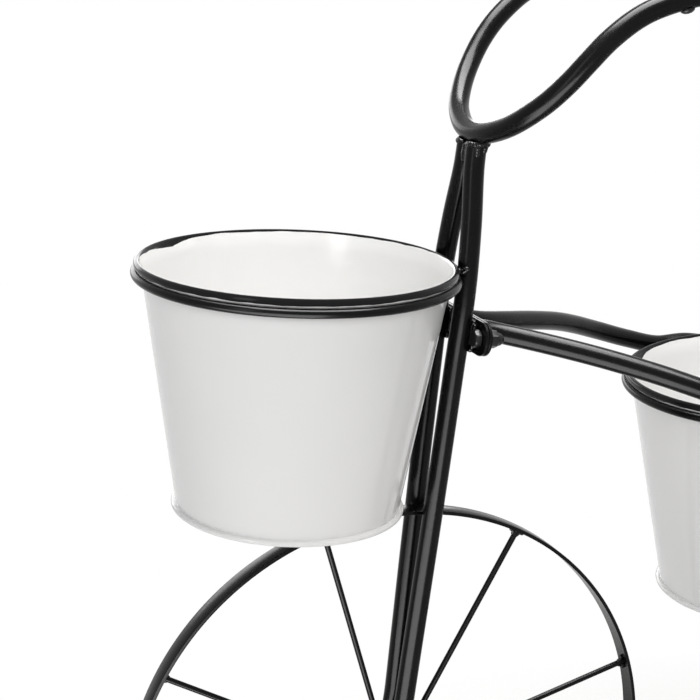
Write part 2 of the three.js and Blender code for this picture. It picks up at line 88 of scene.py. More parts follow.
BOTH_SIDES = (("left", -1), ("right", 1))
# Slight tips to one side, which the CAD leaves out
TIPS = {"front": math.radians(0.4), "middle": 0.0, "rear": 0.0}


def leg_x(z):
    return LEG_HOOP_X + (z - HOOP_AXIS_Z) * math.tan(RAKE)


AXLE_X = leg_x(FRONT_WHEEL_R)


# Mesh helpers


def place(point):
    """A point given in millimetres from the front pot's axis, in the scene's own metres."""
    return Vector(((point[0] + SHIFT_X) * MM, point[1] * MM, point[2] * MM))


def make_object(name, verts, faces, material):
    """A smooth-shaded mesh object from points in millimetres."""
    mesh = bpy.data.meshes.new(name)
    mesh.from_pydata([Vector(v) * MM for v in verts], [], faces)
    mesh.validate()
    bm = bmesh.new()
    bm.from_mesh(mesh)
    bmesh.ops.remove_doubles(bm, verts=bm.verts, dist=MERGE_DISTANCE * MM)
    bmesh.ops.recalc_face_normals(bm, faces=bm.faces)
    bm.to_mesh(mesh)
    bm.free()
    mesh.materials.append(material)
    for polygon in mesh.polygons:
        polygon.use_smooth = True
    obj = bpy.data.objects.new(name, mesh)
    obj.location = place((0, 0, 0))
    bpy.context.scene.collection.objects.link(obj)
    return obj


def sharpen(obj, angle=35.0):
    """Marks edges sharper than an angle so that smooth shading breaks there."""
    bm = bmesh.new()
    bm.from_mesh(obj.data)
    limit = math.radians(angle)
    for edge in bm.edges:
        if len(edge.link_faces) == 2 and edge.calc_face_angle(0.0) > limit:
            edge.smooth = False
    bm.to_mesh(obj.data)
    bm.free()


def catmull_rom(points, t):
    """The centripetal curve that the CAD sweeps its tubes along."""
    last = len(points) - 1
    place_on = last * min(max(t, 0.0), 1.0)
    i = min(int(place_on), last - 1)
    w = place_on - i
    p1, p2 = points[i], points[i + 1]
    p0 = points[i - 1] if i > 0 else p1 * 2 - p2
    p3 = points[i + 2] if i + 2 <= last else p2 * 2 - p1
    d0, d1, d2 = ((b - a).length_squared**0.25 for a, b in ((p0, p1), (p1, p2), (p2, p3)))
    m1 = ((p1 - p0) / d0 - (p2 - p0) / (d0 + d1) + (p2 - p1) / d1) * d1
    m2 = ((p2 - p1) / d1 - (p3 - p1) / (d1 + d2) + (p3 - p2) / d2) * d1
    return (
        p1
        + m1 * w
        + (p1 * -3 + p2 * 3 - m1 * 2 - m2) * w**2
        + (p1 * 2 - p2 * 2 + m1 + m2) * w**3
    )


def stack_faces(rows, sides):
    """The faces of a closed stack of rings: quads between neighbours and one face at each end."""
    faces = []
    for row in range(rows - 1):
        low, high = row * sides, (row + 1) * sides
        for k in range(sides):
            n = (k + 1) % sides
            faces.append((low + k, low + n, high + n, high + k))
    faces.append(tuple(range(sides)))
    faces.append(tuple((rows - 1) * sides + k for k in range(sides)))
    return faces


def sweep(centres, side, sections, sides):
    """Rings of points round a path: (half towards side, half across) at each centre."""
    verts = []
    last = len(centres) - 1
    for i, centre in enumerate(centres):
        tangent = (centres[min(i + 1, last)] - centres[max(i - 1, 0)]).normalized()
        towards = (side - tangent * side.dot(tangent)).normalized()
        across = tangent.cross(towards)
        half_towards, half_across = sections[i]
        for k in range(sides):
            a = math.tau * k / sides
            out, aside = half_towards * math.cos(a), half_across * math.sin(a)
            verts.append(centre + towards * out + across * aside)
    return verts, stack_faces(len(centres), sides)


def lathe(outline, sides, closed=False):
    """A turned shape about Z from (radius, height) points; ends on the axis unless closed."""
    turns = [math.tau * k / sides for k in range(sides)]
    verts, faces = [], []
    rows = []
    for r, z in outline:
        if r < 1e-6:
            rows.append([len(verts)] * sides)
            verts.append((0.0, 0.0, z))
        else:
            rows.append(list(range(len(verts), len(verts) + sides)))
            verts.extend((r * math.cos(a), r * math.sin(a), z) for a in turns)
    pairs = list(zip(rows, rows[1:]))
    if closed:
        pairs.append((rows[-1], rows[0]))
    for low, high in pairs:
        for k in range(sides):
            n = (k + 1) % sides
            corners = []
            for c in (low[k], low[n], high[n], high[k]):
                if c not in corners:
                    corners.append(c)
            if len(corners) > 2:
                faces.append(tuple(corners))
    return verts, faces


def turned_piece(name, outline, sides, material, closed=False, angle=35.0):
    """A turned object whose edges are sharp where they bend by more than an angle."""
    verts, faces = lathe(outline, sides, closed)
    obj = make_object(name, verts, faces, material)
    sharpen(obj, angle)
    return obj


def arc(centre, radius, start, end, count):
    """Points on a circle in the outline's plane, angles in degrees."""
    return oval(centre, radius, radius, start, end, count)


def oval(centre, half_wide, half_high, start, end, count):
    """Points on an upright oval in the outline's plane, angles in degrees."""
    turns = [math.radians(start + (end - start) * k / (count - 1)) for k in range(count)]
    return [(centre[0] + half_wide * math.cos(a), centre[1] + half_high * math.sin(a)) for a in turns]


def line(first, last, steps):
    """Evenly spaced points of a straight stretch in the outline's plane."""
    return [
        (first[0] + (last[0] - first[0]) * k / steps, first[1] + (last[1] - first[1]) * k / steps)
        for k in range(steps + 1)
    ]


def hoop_turn(name):
    """How a hoop and its pot stand: the lean to the front or back, then the slight tip to one side."""
    return Matrix.Rotation(-LEANS[name], 3, "Y") @ Matrix.Rotation(TIPS[name], 3, "X")


def in_hoop(name, point):
    """A point given from the middle of a hoop's top along its leaning axes, in millimetres."""
    x, top = HOOP_TOPS[name]
    return Vector((x, 0, top)) + hoop_turn(name) @ Vector(point)


def lean(obj, name, height):
    """Sets an object on a hoop's leaning axis at a height above the hoop's top."""
    obj.rotation_mode = "QUATERNION"
    obj.rotation_quaternion = hoop_turn(name).to_quaternion()
    obj.location = place(in_hoop(name, (0, 0, height)))


def turn(obj, axis, at):
    """Points an object's own Z along an axis and puts its origin at a place."""
    obj.rotation_mode = "QUATERNION"
    obj.rotation_quaternion = Vector((0, 0, 1)).rotation_difference(Vector(axis))
    obj.location = place(at)


def join_pieces(first, *others):
    """Joins meshes into the first, keeping each one's place."""
    bm = bmesh.new()
    for obj in (first, *others):
        bpy.context.view_layer.update()
        start = len(bm.verts)
        bm.from_mesh(obj.data)
        bm.verts.ensure_lookup_table()
        shift = first.matrix_world.inverted() @ obj.matrix_world
        for vertex in bm.verts[start:]:
            vertex.co = shift @ vertex.co
    bm.to_mesh(first.data)
    bm.free()
    for obj in others:
        bpy.data.objects.remove(obj)
    return first


WELD_STEP = 0.3
WELD_PITCH = 1.5
WELD_SIDES = 12
WELD_WOBBLE_PER_MM = 0.35
WELD_LEAST_SHARE = 0.9
WELD_RIPPLE_SHARE = 0.13
WELD_WOBBLE_SHARE = 0.14


def bead(name, path, radius, seed, squash=1.0, body="frame"):
    """A weld bead: a ripple-surfaced worm along a path of points in millimetres."""
    length = sum((b - a).length for a, b in zip(path, path[1:]))
    steps = max(int(length / WELD_STEP), 8)
    centres, sections = [], []
    for i in range(steps + 1):
        s = i / steps
        wobble = noise.noise(Vector((s * length * WELD_WOBBLE_PER_MM, seed * 3.7, 0.0)))
        ripple = abs(math.sin(math.pi * s * length / WELD_PITCH))
        end = math.sqrt(max(1 - abs(2 * s - 1) ** 6, 0.02))
        r = radius * end * (WELD_LEAST_SHARE + WELD_RIPPLE_SHARE * ripple + WELD_WOBBLE_SHARE * wobble)
        centres.append(catmull_rom(path, s) + Vector((0, 0, wobble * radius * 0.15)))
        sections.append((r * squash, r))
    heading = (path[-1] - path[0]).normalized()
    side = Vector((0, 0, 1)) if abs(heading.z) < 0.8 else Vector((1, 0, 0))
    verts, faces = sweep(centres, side, sections, WELD_SIDES)
    obj = make_object(name, verts, faces, weld_paint)
    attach(obj, body)


# Materials


def new_material(name):
    material = bpy.data.materials.new(name)
    material.use_nodes = True
    return material, material.node_tree, material.node_tree.nodes["Principled BSDF"]


def add_noise(tree, coords, scale, detail=3.0, roughness=0.5):
    texture = tree.nodes.new("ShaderNodeTexNoise")
    texture.inputs["Scale"].default_value = scale
    texture.inputs["Detail"].default_value = detail
    texture.inputs["Roughness"].default_value = roughness
    tree.links.new(coords, texture.inputs["Vector"])
    return texture.outputs["Fac"]


def add_range(tree, value, low, high, to_low, to_high):
    remap = tree.nodes.new("ShaderNodeMapRange")
    remap.inputs["From Min"].default_value = low
    remap.inputs["From Max"].default_value = high
    remap.inputs["To Min"].default_value = to_low
    remap.inputs["To Max"].default_value = to_high
    tree.links.new(value, remap.inputs["Value"])
    return remap.outputs["Result"]


def add_math(tree, operation, first, second):
    node = tree.nodes.new("ShaderNodeMath")
    node.operation = operation
    tree.links.new(first, node.inputs[0])
    tree.links.new(second, node.inputs[1])
    return node.outputs[0]


def add_mix(tree, factor, first, second):
    """A mix of two colours, each a plain tuple or another node's output."""
    mix = tree.nodes.new("ShaderNodeMix")
    mix.data_type = "RGBA"
    tree.links.new(factor, mix.inputs["Factor"])
    for socket, colour in (("A", first), ("B", second)):
        if isinstance(colour, tuple):
            mix.inputs[socket].default_value = (*colour, 1.0)
        else:
            tree.links.new(colour, mix.inputs[socket])
    return mix.outputs["Result"]


def add_bump(tree, height, strength, distance_m, below=None):
    bump = tree.nodes.new("ShaderNodeBump")
    bump.inputs["Strength"].default_value = strength
    bump.inputs["Distance"].default_value = distance_m
    tree.links.new(height, bump.inputs["Height"])
    if below is not None:
        tree.links.new(below, bump.inputs["Normal"])
    return bump.outputs["Normal"]


def object_coords(tree):
    return tree.nodes.new("ShaderNodeTexCoord").outputs["Object"]


def set_surface(tree, shader, colour, roughness, normal, gloss):
    tree.links.new(colour, shader.inputs["Base Color"])
    tree.links.new(roughness, shader.inputs["Roughness"])
    tree.links.new(normal, shader.inputs["Normal"])
    shader.inputs["Specular IOR Level"].default_value = gloss


def powder_coat(name, dark, pale, rough_low, rough_high, peel, gloss):
    """Glossy black powder coat: slight orange peel, faint patches of tone and gloss, a few dull specks."""
    material, tree, shader = new_material(name)
    coords = object_coords(tree)
    broad = add_noise(tree, coords, 14.0, 2.0)
    fine = add_noise(tree, coords, 900.0, 2.0)
    specks = add_noise(tree, coords, 420.0, 4.0, 0.7)
    colour = add_mix(tree, add_range(tree, broad, 0.35, 0.65, 0, 1), dark, pale)
    roughness = add_range(tree, specks, 0.35, 0.75, rough_low, rough_high)
    normal = add_bump(tree, fine, peel, 0.0001, add_bump(tree, broad, 0.05, 0.0004))
    set_surface(tree, shader, colour, roughness, normal, gloss)
    return material


def enamel(name, gloss):
    """White enamel with a hand-painted black rim where the paint attribute passes a wavering line."""
    material, tree, shader = new_material(name)
    coords = object_coords(tree)
    broad = add_noise(tree, coords, 9.0, 2.0)
    waver = add_noise(tree, coords, 45.0, 3.0)
    fine = add_noise(tree, coords, 260.0, 2.0)
    attribute = tree.nodes.new("ShaderNodeAttribute")
    attribute.attribute_name = "paint"
    wavering = add_range(tree, waver, 0.3, 0.7, -0.09, 0.09)
    edge = add_math(tree, "ADD", attribute.outputs["Fac"], wavering)
    mask = add_range(tree, edge, 0.5, 0.52, 0, 1)
    tone = add_range(tree, broad, 0.3, 0.7, 0, 1)
    white = add_mix(tree, tone, (0.79, 0.79, 0.785), (0.82, 0.818, 0.81))
    colour = add_mix(tree, mask, white, (0.008, 0.008, 0.0085))
    roughness = add_range(tree, fine, 0.3, 0.7, 0.12, 0.18)
    normal = add_bump(tree, mask, 0.35, 0.00012, add_bump(tree, fine, 0.02, 0.0002))
    set_surface(tree, shader, colour, roughness, normal, gloss)
    return material


def coated_steel(name, gloss):
    """Black-oxide fastener steel: random patches of darker tone, fine random scratches in the roughness."""
    material, tree, shader = new_material(name)
    coords = object_coords(tree)
    patches = add_noise(tree, coords, 160.0, 3.0)
    scratches = add_noise(tree, coords, 1500.0, 3.0, 0.7)
    tone = add_range(tree, patches, 0.35, 0.7, 0, 1)
    colour = add_mix(tree, tone, (0.006, 0.006, 0.0065), (0.016, 0.0155, 0.015))
    roughness = add_range(tree, scratches, 0.3, 0.7, 0.24, 0.42)
    set_surface(tree, shader, colour, roughness, add_bump(tree, scratches, 0.12, 0.0001), gloss)
    return material


def moulded_plastic(name, gloss):
    """Black moulded plastic with a fine satin grain."""
    material, tree, shader = new_material(name)
    coords = object_coords(tree)
    grain = add_noise(tree, coords, 1800.0, 3.0)
    tone = add_noise(tree, coords, 120.0, 2.0)
    colour = add_mix(tree, tone, (0.012, 0.012, 0.013), (0.02, 0.02, 0.021))
    roughness = add_range(tree, grain, 0.3, 0.7, 0.42, 0.58)
    set_surface(tree, shader, colour, roughness, add_bump(tree, grain, 0.25, 0.0001), gloss)
    return material


BLACK_GLOSS = 0.1
WELD_GLOSS = 0.2
FASTENER_GLOSS = 0.2
PLAIN_GLOSS = 0.5
TUBE_DARK = (0.0016, 0.0016, 0.0017)
TUBE_PALE = (0.003, 0.003, 0.0031)
WELD_DARK = (0.002, 0.002, 0.0021)
WELD_PALE = (0.0035, 0.0035, 0.0036)
tube_paint = powder_coat("gloss_black_powder_coat", TUBE_DARK, TUBE_PALE, 0.2, 0.3, 0.02, BLACK_GLOSS)
weld_paint = powder_coat("powder_coat_over_weld", WELD_DARK, WELD_PALE, 0.14, 0.24, 0.3, WELD_GLOSS)
pot_enamel = enamel("white_enamel", PLAIN_GLOSS)
rim_paint = enamel("black_painted_rim", BLACK_GLOSS)
fastener = coated_steel("black_coated_fastener", FASTENER_GLOSS)
plastic = moulded_plastic("moulded_black_plastic", PLAIN_GLOSS)


def finish_piece(obj, node, body="frame"):
    """Hides the CAD node that a piece stands for and hangs the piece on the body that it moves with."""
    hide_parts(node)
    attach(obj, body)


# Fork legs

BAR_SEAT_Z = 594.0
LEG_TOP_Z = BAR_SEAT_Z - TUBE_R - SEAT_GAP
HUB_LEG_SHARE = 0.43
FLAT_THICKNESS = 4.0
FLAT_WIDTH = 18.0
SPREAD_SHARES = (
    (0.062, 0.435), (0.115, 0.467), (0.187, 0.53), (0.367, 0.7), (0.522, 0.825), (0.676, 0.915),
    (0.79, 0.995), (0.883, 0.77), (0.965, 0.4),
)
LEG_TWIN_Y = 1.024 * TUBE_R
LEG_BLEND_START = FRONT_WHEEL_R + FLAT_WIDTH * 0.7
LEG_BLEND_END = LEG_BLEND_START + FLAT_WIDTH * 2.2
LEG_STEPS = 150
TUBE_SIDES = 32
HALVINGS = 30


def smoothstep(value, low, high):
    x = min(max((value - low) / (high - low), 0.0), 1.0)
    return x * x * (3 - 2 * x)


def flat_section(z, blend_start, blend_end):
    """Half sizes of a tube that is pressed flat at its lower end."""
    share = smoothstep(z, blend_start, blend_end)
    return (
        FLAT_THICKNESS / 2 + (TUBE_R - FLAT_THICKNESS / 2) * share,
        FLAT_WIDTH / 2 + (TUBE_R - FLAT_WIDTH / 2) * share,
    )


def leg_points(side_sign):
    """A leg's route from just under the axle up to the handlebar."""
    rise_total = LEG_TOP_Z - FRONT_WHEEL_R
    shares = [
        (-FLAT_WIDTH / 2 / rise_total, HUB_LEG_SHARE),
        (0.0, HUB_LEG_SHARE),
        *SPREAD_SHARES,
        (1.0, LEG_TWIN_Y / CROWN_HALF_Y),
    ]
    points = []
    for rise, spread in shares:
        z = FRONT_WHEEL_R + rise * rise_total
        points.append(Vector((leg_x(z), side_sign * spread * CROWN_HALF_Y, z)))
    return points


def leg_half_y(z):
    """Half spacing of the leg axes at a height."""
    points = leg_points(1)
    low, high = 0.0, 1.0
    for _ in range(HALVINGS):
        middle = (low + high) / 2
        if catmull_rom(points, middle).z < z:
            low = middle
        else:
            high = middle
    return catmull_rom(points, low).y


for name, side_sign in BOTH_SIDES:
    points = leg_points(side_sign)
    centres = [catmull_rom(points, i / LEG_STEPS) for i in range(LEG_STEPS + 1)]
    sections = [flat_section(c.z, LEG_BLEND_START, LEG_BLEND_END) for c in centres]
    verts, faces = sweep(centres, Vector((0, 1, 0)), sections, TUBE_SIDES)
    leg = make_object(f"leg_{name}", verts, faces, tube_paint)
    sharpen(leg)
    finish_piece(leg, f"fork_leg_{name}")

# Handlebar

BAR_REACH = 174.0
BAR_HALF_WIDTH = 92.0
BAR_RISE = 89.3
BAR_SHARES = (
    (0.007, 0.174, 0.019), (0.028, 0.341, 0.071), (0.053, 0.467, 0.138), (0.105, 0.624, 0.272),
    (0.155, 0.716, 0.406), (0.206, 0.771, 0.541), (0.266, 0.803, 0.675), (0.345, 0.836, 0.803),
    (0.407, 0.87, 0.873), (0.529, 0.93, 0.952), (0.678, 0.967, 0.988), (0.839, 0.989, 1.0), (1.0, 1.0, 1.0),
)
BAR_SEAT_X = leg_x(BAR_SEAT_Z)
BAR_STEPS = 260
half_bar = [
    Vector((BAR_SEAT_X + a * BAR_REACH, b * BAR_HALF_WIDTH, BAR_SEAT_Z + c * BAR_RISE))
    for a, b, c in BAR_SHARES
]
mirrored_half = [Vector((p.x, -p.y, p.z)) for p in reversed(half_bar)]
bar_points = mirrored_half + [Vector((BAR_SEAT_X, 0, BAR_SEAT_Z))] + half_bar
bar_centres = [catmull_rom(bar_points, i / BAR_STEPS) for i in range(BAR_STEPS + 1)]
bar_side = Vector((-1, 0, 0.75)).normalized()
verts, faces = sweep(bar_centres, bar_side, [(TUBE_R, TUBE_R)] * len(bar_centres), TUBE_SIDES)
bar = make_object("handlebar_tube", verts, faces, tube_paint)
sharpen(bar)
finish_piece(bar, "handlebar")

PLUG_LENGTH = 3.0
PLUG_R = TUBE_R + 0.6
PLUG_STEM_R = TUBE_R - 1.4
PLUG_STEM_LENGTH = 6.0
PLUG_EDGE = 1.2
PLUG_MARK_R = 2.2
PLUG_MARK_DEPTH = 0.5
bar_ends = (("left", bar_centres[0], bar_centres[1]), ("right", bar_centres[-1], bar_centres[-2]))
for name, end, before in bar_ends:
    outline = [(0, -PLUG_STEM_LENGTH), (PLUG_STEM_R, -PLUG_STEM_LENGTH), (PLUG_STEM_R + 0.2, 0)]
    outline += [(PLUG_R - 0.3, 0), (PLUG_R, 0.3)]
    outline += arc((PLUG_R - PLUG_EDGE, PLUG_LENGTH - PLUG_EDGE), PLUG_EDGE, 0, 90, 6)
    outline += [(PLUG_MARK_R, PLUG_LENGTH), (PLUG_MARK_R - 0.4, PLUG_LENGTH - PLUG_MARK_DEPTH)]
    outline += [(0, PLUG_LENGTH - PLUG_MARK_DEPTH)]
    plug = turned_piece(f"bar_end_{name}", outline, 48, plastic)
    out = (end - before).normalized()
    turn(plug, out, end + out * SEAT_GAP)
    finish_piece(plug, f"bar_plug_{name}")

SCREW_R = 4.2
SCREW_SUNK = 1.2
SCREW_FLATNESS = 0.6
SCREW_RECESS_R = 0.9
SCREW_RECESS_Z = 1.3
for name, t in (("left", 0.125), ("right", 0.875)):
    centre = catmull_rom(bar_points, t)
    along = (catmull_rom(bar_points, t + 0.001) - catmull_rom(bar_points, t - 0.001)).normalized()
    down = (Vector((0, 0, -1)) + along * along.z).normalized()
    outline = [(0, -SCREW_SUNK), (SCREW_R - 0.4, -SCREW_SUNK)]
    outline += [(r, z * SCREW_FLATNESS) for r, z in arc((0.0, -0.9), SCREW_R, 4, 78, 10)]
    outline += [(SCREW_RECESS_R, SCREW_RECESS_Z), (0, SCREW_RECESS_Z)]
    screw = turned_piece(f"grip_screw_{name}", outline, 32, fastener)
    turn(screw, down, centre + down * (TUBE_R + SEAT_GAP))
    finish_piece(screw, f"bar_screw_{name}")

# Hoops

HOOP_STEPS = 240
HOOP_SIDES = 20
HOOP_SEAM_SWELL = 0.28
HOOP_SEAM_AHEAD = 0.7
HOOP_SEAM_WIDTH = 0.012
HOOP_WELD_TURN = {"front": 0.0, "middle": math.pi / 2, "rear": math.pi / 2}
for name in HOOP_TOPS:
    verts, faces = [], []
    for i in range(HOOP_STEPS):
        a = math.tau * i / HOOP_STEPS
        from_seam = (a - HOOP_WELD_TURN[name] - HOOP_SEAM_AHEAD + math.pi) % math.tau - math.pi
        rod_r = HOOP_ROD_R + HOOP_SEAM_SWELL * math.exp(-((from_seam / HOOP_SEAM_WIDTH) ** 2))
        for k in range(HOOP_SIDES):
            b = math.tau * k / HOOP_SIDES
            r = HOOP_R + rod_r * math.cos(b)
            verts.append((r * math.cos(a), r * math.sin(a), rod_r * math.sin(b)))
        here, ahead = i * HOOP_SIDES, (i + 1) % HOOP_STEPS * HOOP_SIDES
        for k in range(HOOP_SIDES):
            n = (k + 1) % HOOP_SIDES
            faces.append((here + k, ahead + k, ahead + n, here + n))
    hoop = make_object(f"pot_hoop_{name}", verts, faces, tube_paint)
    lean(hoop, name, -HOOP_ROD_R)
    finish_piece(hoop, f"{name}_hoop")

# Pots

POT_TOP_R = 92.6
POT_H = 154.0
ROLL_HALF_W = 2.0
ROLL_HALF_H = 2.5
ROLL_X = POT_TOP_R + 2.2
ROLL_Z = POT_H - ROLL_HALF_H
POT_FOOT_R = 69.0
POT_WALL = 1.1
POT_BEAD_R = 1.7
POT_BEAD_STAND = 1.1
POT_LIP = 3.4
POT_EDGE = 0.3
POT_SIDES = 256
POT_STEPS = 24
POT_BOTTOM = SEAT_GAP - (POT_H - 2 * ROLL_HALF_H)
POT_SEED_STEP = 11.3
BASE_R = POT_FOOT_R - POT_WALL - SEAT_GAP
BASE_THICKNESS = 1.2
BASE_GROOVE_Z = BASE_THICKNESS - 0.6


def pot_outline():
    """The pot's wall: foot lip, foot bead, flared side, rolled rim, and back down inside."""
    inner_foot_r = POT_FOOT_R - POT_WALL
    under_roll = ROLL_Z - 0.9 * ROLL_HALF_H
    outline = [(inner_foot_r - POT_LIP, 0.0), (POT_FOOT_R - 2.4, 0.0)]
    outline += arc((POT_FOOT_R + POT_BEAD_STAND, POT_BEAD_R), POT_BEAD_R, -90, 84, 12)
    outline += line((POT_FOOT_R + 0.1, POT_BEAD_R * 2 + 0.15), (POT_TOP_R, under_roll), POT_STEPS)
    outline += oval((ROLL_X, ROLL_Z), ROLL_HALF_W, ROLL_HALF_H, -128, 172, 32)
    outline += line((POT_TOP_R - POT_WALL, under_roll), (inner_foot_r, POT_BEAD_R * 2), POT_STEPS)
    outline += [(inner_foot_r, POT_WALL + POT_EDGE), (inner_foot_r - POT_EDGE, POT_WALL)]
    outline += [(inner_foot_r - POT_LIP, POT_WALL)]
    return outline


def base_outline():
    """The pot's floor: a disc with eased edges and a shallow pressed groove near its rim."""
    outline = [(0, 0), (BASE_R - 0.2, 0), (BASE_R, 0.2)]
    outline += [(BASE_R, BASE_THICKNESS - POT_EDGE), (BASE_R - POT_EDGE, BASE_THICKNESS)]
    outline += [(BASE_R - 5, BASE_THICKNESS), (BASE_R - 6.5, BASE_GROOVE_Z)]
    outline += [(BASE_R - 12, BASE_GROOVE_Z), (BASE_R - 13.5, BASE_THICKNESS), (0, BASE_THICKNESS)]
    return outline


# How far over to the inside the rim's paint goes, in degrees round the roll, by direction round a pot
PAINT_DIRECTIONS = (
    -180, -150, -125, -100, -75, -45, -30, -18, -8, 5, 30, 60, 75, 90, 105, 118, 128, 140, 160, 180,
)
PAINT_INNER_EDGE = (
    150, 118, 104, 100, 98, 104, 112, 128, 118, 134, 146, 150, 148, 158, 150, 172, 212, 186, 150, 150,
)
PAINT_INNER_WAVER = 9
PAINT_OUTER_EDGE = -34
PAINT_OUTER_WAVER = 16
PAINT_SLOPE = 60
PAINT_UNDERSIDE = -110
PAINT_DEGREES_PER_MM = 14
PAINT_DEEPEST = 9.0
PAINT_LUMPS = 9.0


def between(value, places, values):
    """Straight-line reading of a table."""
    for low, high, first, second in zip(places, places[1:], values, values[1:]):
        if value <= high:
            return first + (second - first) * (value - low) / (high - low)
    return values[-1]


def paint_share(r, z, angle, seed):
    """0 on bare enamel and 1 on the painted rim, with a slope between for the shader's wavering edge."""
    depth = ROLL_Z - z
    if depth > PAINT_DEEPEST:
        return 0.0
    around = math.degrees(math.atan2((z - ROLL_Z) / ROLL_HALF_H, (r - ROLL_X) / ROLL_HALF_W))
    small = noise.noise(Vector((math.cos(angle) * PAINT_LUMPS, math.sin(angle) * PAINT_LUMPS, seed + 5.0)))
    if r < ROLL_X and (z > ROLL_Z or r < POT_TOP_R - 0.3):
        inner_edge = between(math.degrees(angle), PAINT_DIRECTIONS, PAINT_INNER_EDGE)
        beyond = around if z > ROLL_Z else 180 + depth * PAINT_DEGREES_PER_MM
        inside = inner_edge + PAINT_INNER_WAVER * small - beyond
    elif around > PAINT_UNDERSIDE:
        inside = around - (PAINT_OUTER_EDGE + PAINT_OUTER_WAVER * small)
    else:
        return 0.0
    return min(max(0.5 + inside / PAINT_SLOPE, 0.0), 1.0)


for seed, name in enumerate(HOOP_TOPS):
    wall = turned_piece(f"pot_wall_{name}", pot_outline(), POT_SIDES, pot_enamel, True, 50)
    lean(wall, name, POT_BOTTOM)
    paint = wall.data.attributes.new("paint", "FLOAT", "POINT")
    for i, vertex in enumerate(wall.data.vertices):
        co = vertex.co / MM
        angle = math.atan2(co.y, co.x)
        paint.data[i].value = paint_share(math.hypot(co.x, co.y), co.z, angle, seed * POT_SEED_STEP)
    wall.data.materials.append(rim_paint)
    for polygon in wall.data.polygons:
        if sum(paint.data[i].value for i in polygon.vertices) > 0.5 * len(polygon.vertices):
            polygon.material_index = 1
    finish_piece(wall, f"{name}_pot_body", f"{name}_pot")
    base = turned_piece(f"pot_floor_{name}", base_outline(), 128, pot_enamel, angle=30)
    lean(base, name, POT_BOTTOM + POT_WALL + SEAT_GAP)
    finish_piece(base, f"{name}_pot_base", f"{name}_pot")

# Bolted joint

PAD_FRONT = TUBE_R + SEAT_GAP
PAD_THICKNESS = 2.0
PLATE_THICKNESS = 2.0
PLATE_HEIGHT = 21.0
PLATE_EDGE = 0.35
BOLT_HALF_Y = 27.4
FORK_PLATE_FRONT = PAD_FRONT + PAD_THICKNESS
FRAME_PLATE_FRONT = FORK_PLATE_FRONT + PLATE_THICKNESS + SEAT_GAP
JOINT_BACK = FRAME_PLATE_FRONT + PLATE_THICKNESS
JOINT_TURN = Matrix.Rotation(RAKE, 3, "Y")


def in_joint(point):
    """A point given along the joint's own axes, in millimetres from the front pot's axis."""
    return Vector((leg_x(JOINT_Z), 0, JOINT_Z)) + JOINT_TURN @ Vector(point)


def oblong(half_y, half_z, thickness, edge):
    """A plate with round ends and eased edges, its front face at x = 0."""
    steps = 24
    ring = [(sign, -math.pi / 2 + math.pi * k / steps) for sign in (1, -1) for k in range(steps + 1)]
    layers = ((0.0, edge), (edge, 0.0), (thickness - edge, 0.0), (thickness, edge))
    verts = []
    for x, inset in layers:
        r = half_z - inset
        for sign, a in ring:
            verts.append((x, sign * (half_y - half_z) + sign * r * math.cos(a), sign * r * math.sin(a)))
    return verts, stack_faces(len(layers), len(ring))


plates = (("fork_flange", "fork_plate", FORK_PLATE_FRONT), ("frame_flange", "frame_plate", FRAME_PLATE_FRONT))
for piece_name, node, front in plates:
    verts, faces = oblong(BOLT_HALF_Y + PLATE_HEIGHT / 2, PLATE_HEIGHT / 2, PLATE_THICKNESS, PLATE_EDGE)
    verts = [in_joint((v[0] + front, v[1], v[2])) for v in verts]
    flange = make_object(piece_name, verts, faces, tube_paint)
    sharpen(flange, 30)
    finish_piece(flange, node)

HEX_SIDES = 72
DOME_ROWS = 9
DOME_SHARE = 0.86


def hex_piece(name, flats, height, dome=0.0):
    """A chamfered hexagon from z = 0 up, with an optional dome on top."""
    turns = [math.tau * k / HEX_SIDES for k in range(HEX_SIDES)]
    corner = flats / math.sqrt(3)
    levels = (
        (0.0, flats / 2 * 0.97), (0.35, corner), (height - 0.9, corner * 0.985),
        (height - 0.25, flats / 2 * 0.985), (height, flats / 2 * 0.93),
    )
    verts = []
    for z, largest_r in levels:
        for a in turns:
            local = (a + math.pi / 6) % (math.pi / 3) - math.pi / 6
            r = min(flats / 2 / math.cos(local), largest_r)
            verts.append((r * math.sin(a), r * math.cos(a), z))
    if dome:
        for row in range(1, DOME_ROWS):
            e = math.pi / 2 * row / DOME_ROWS
            r = flats / 2 * DOME_SHARE * math.cos(e * 0.98)
            z = height + dome * math.sin(e)
            verts.extend((r * math.sin(a), r * math.cos(a), z) for a in turns)
    obj = make_object(name, verts, stack_faces(len(verts) // HEX_SIDES, HEX_SIDES), fastener)
    sharpen(obj, 24)
    return obj


WASHER_EDGE = 0.25
WASHER_BURR = 0.1


def washer_piece(name, outer, inner, thickness):
    """A ring from z = 0 up with eased edges."""
    outline = [(inner, WASHER_BURR), (inner + WASHER_BURR, 0), (outer - WASHER_EDGE, 0), (outer, WASHER_EDGE)]
    outline += [(outer, thickness - WASHER_EDGE), (outer - WASHER_EDGE, thickness)]
    outline += [(inner + WASHER_BURR, thickness), (inner, thickness - WASHER_BURR)]
    return turned_piece(name, outline, 64, fastener, True, 30)


THREAD_PITCH = 1.0
THREAD_DEPTH = 0.45


def thread_piece(name, radius, length):
    """A rolled thread: rings of shallow V grooves."""
    root = radius - THREAD_DEPTH
    outline = [(0.0, 0.0)]
    for k in range(max(int(length / THREAD_PITCH), 1)):
        outline += [(root, k * THREAD_PITCH), (radius, (k + 0.5) * THREAD_PITCH)]
    outline += [(root, length), (0.0, length)]
    return turned_piece(name, outline, 40, fastener, angle=40)


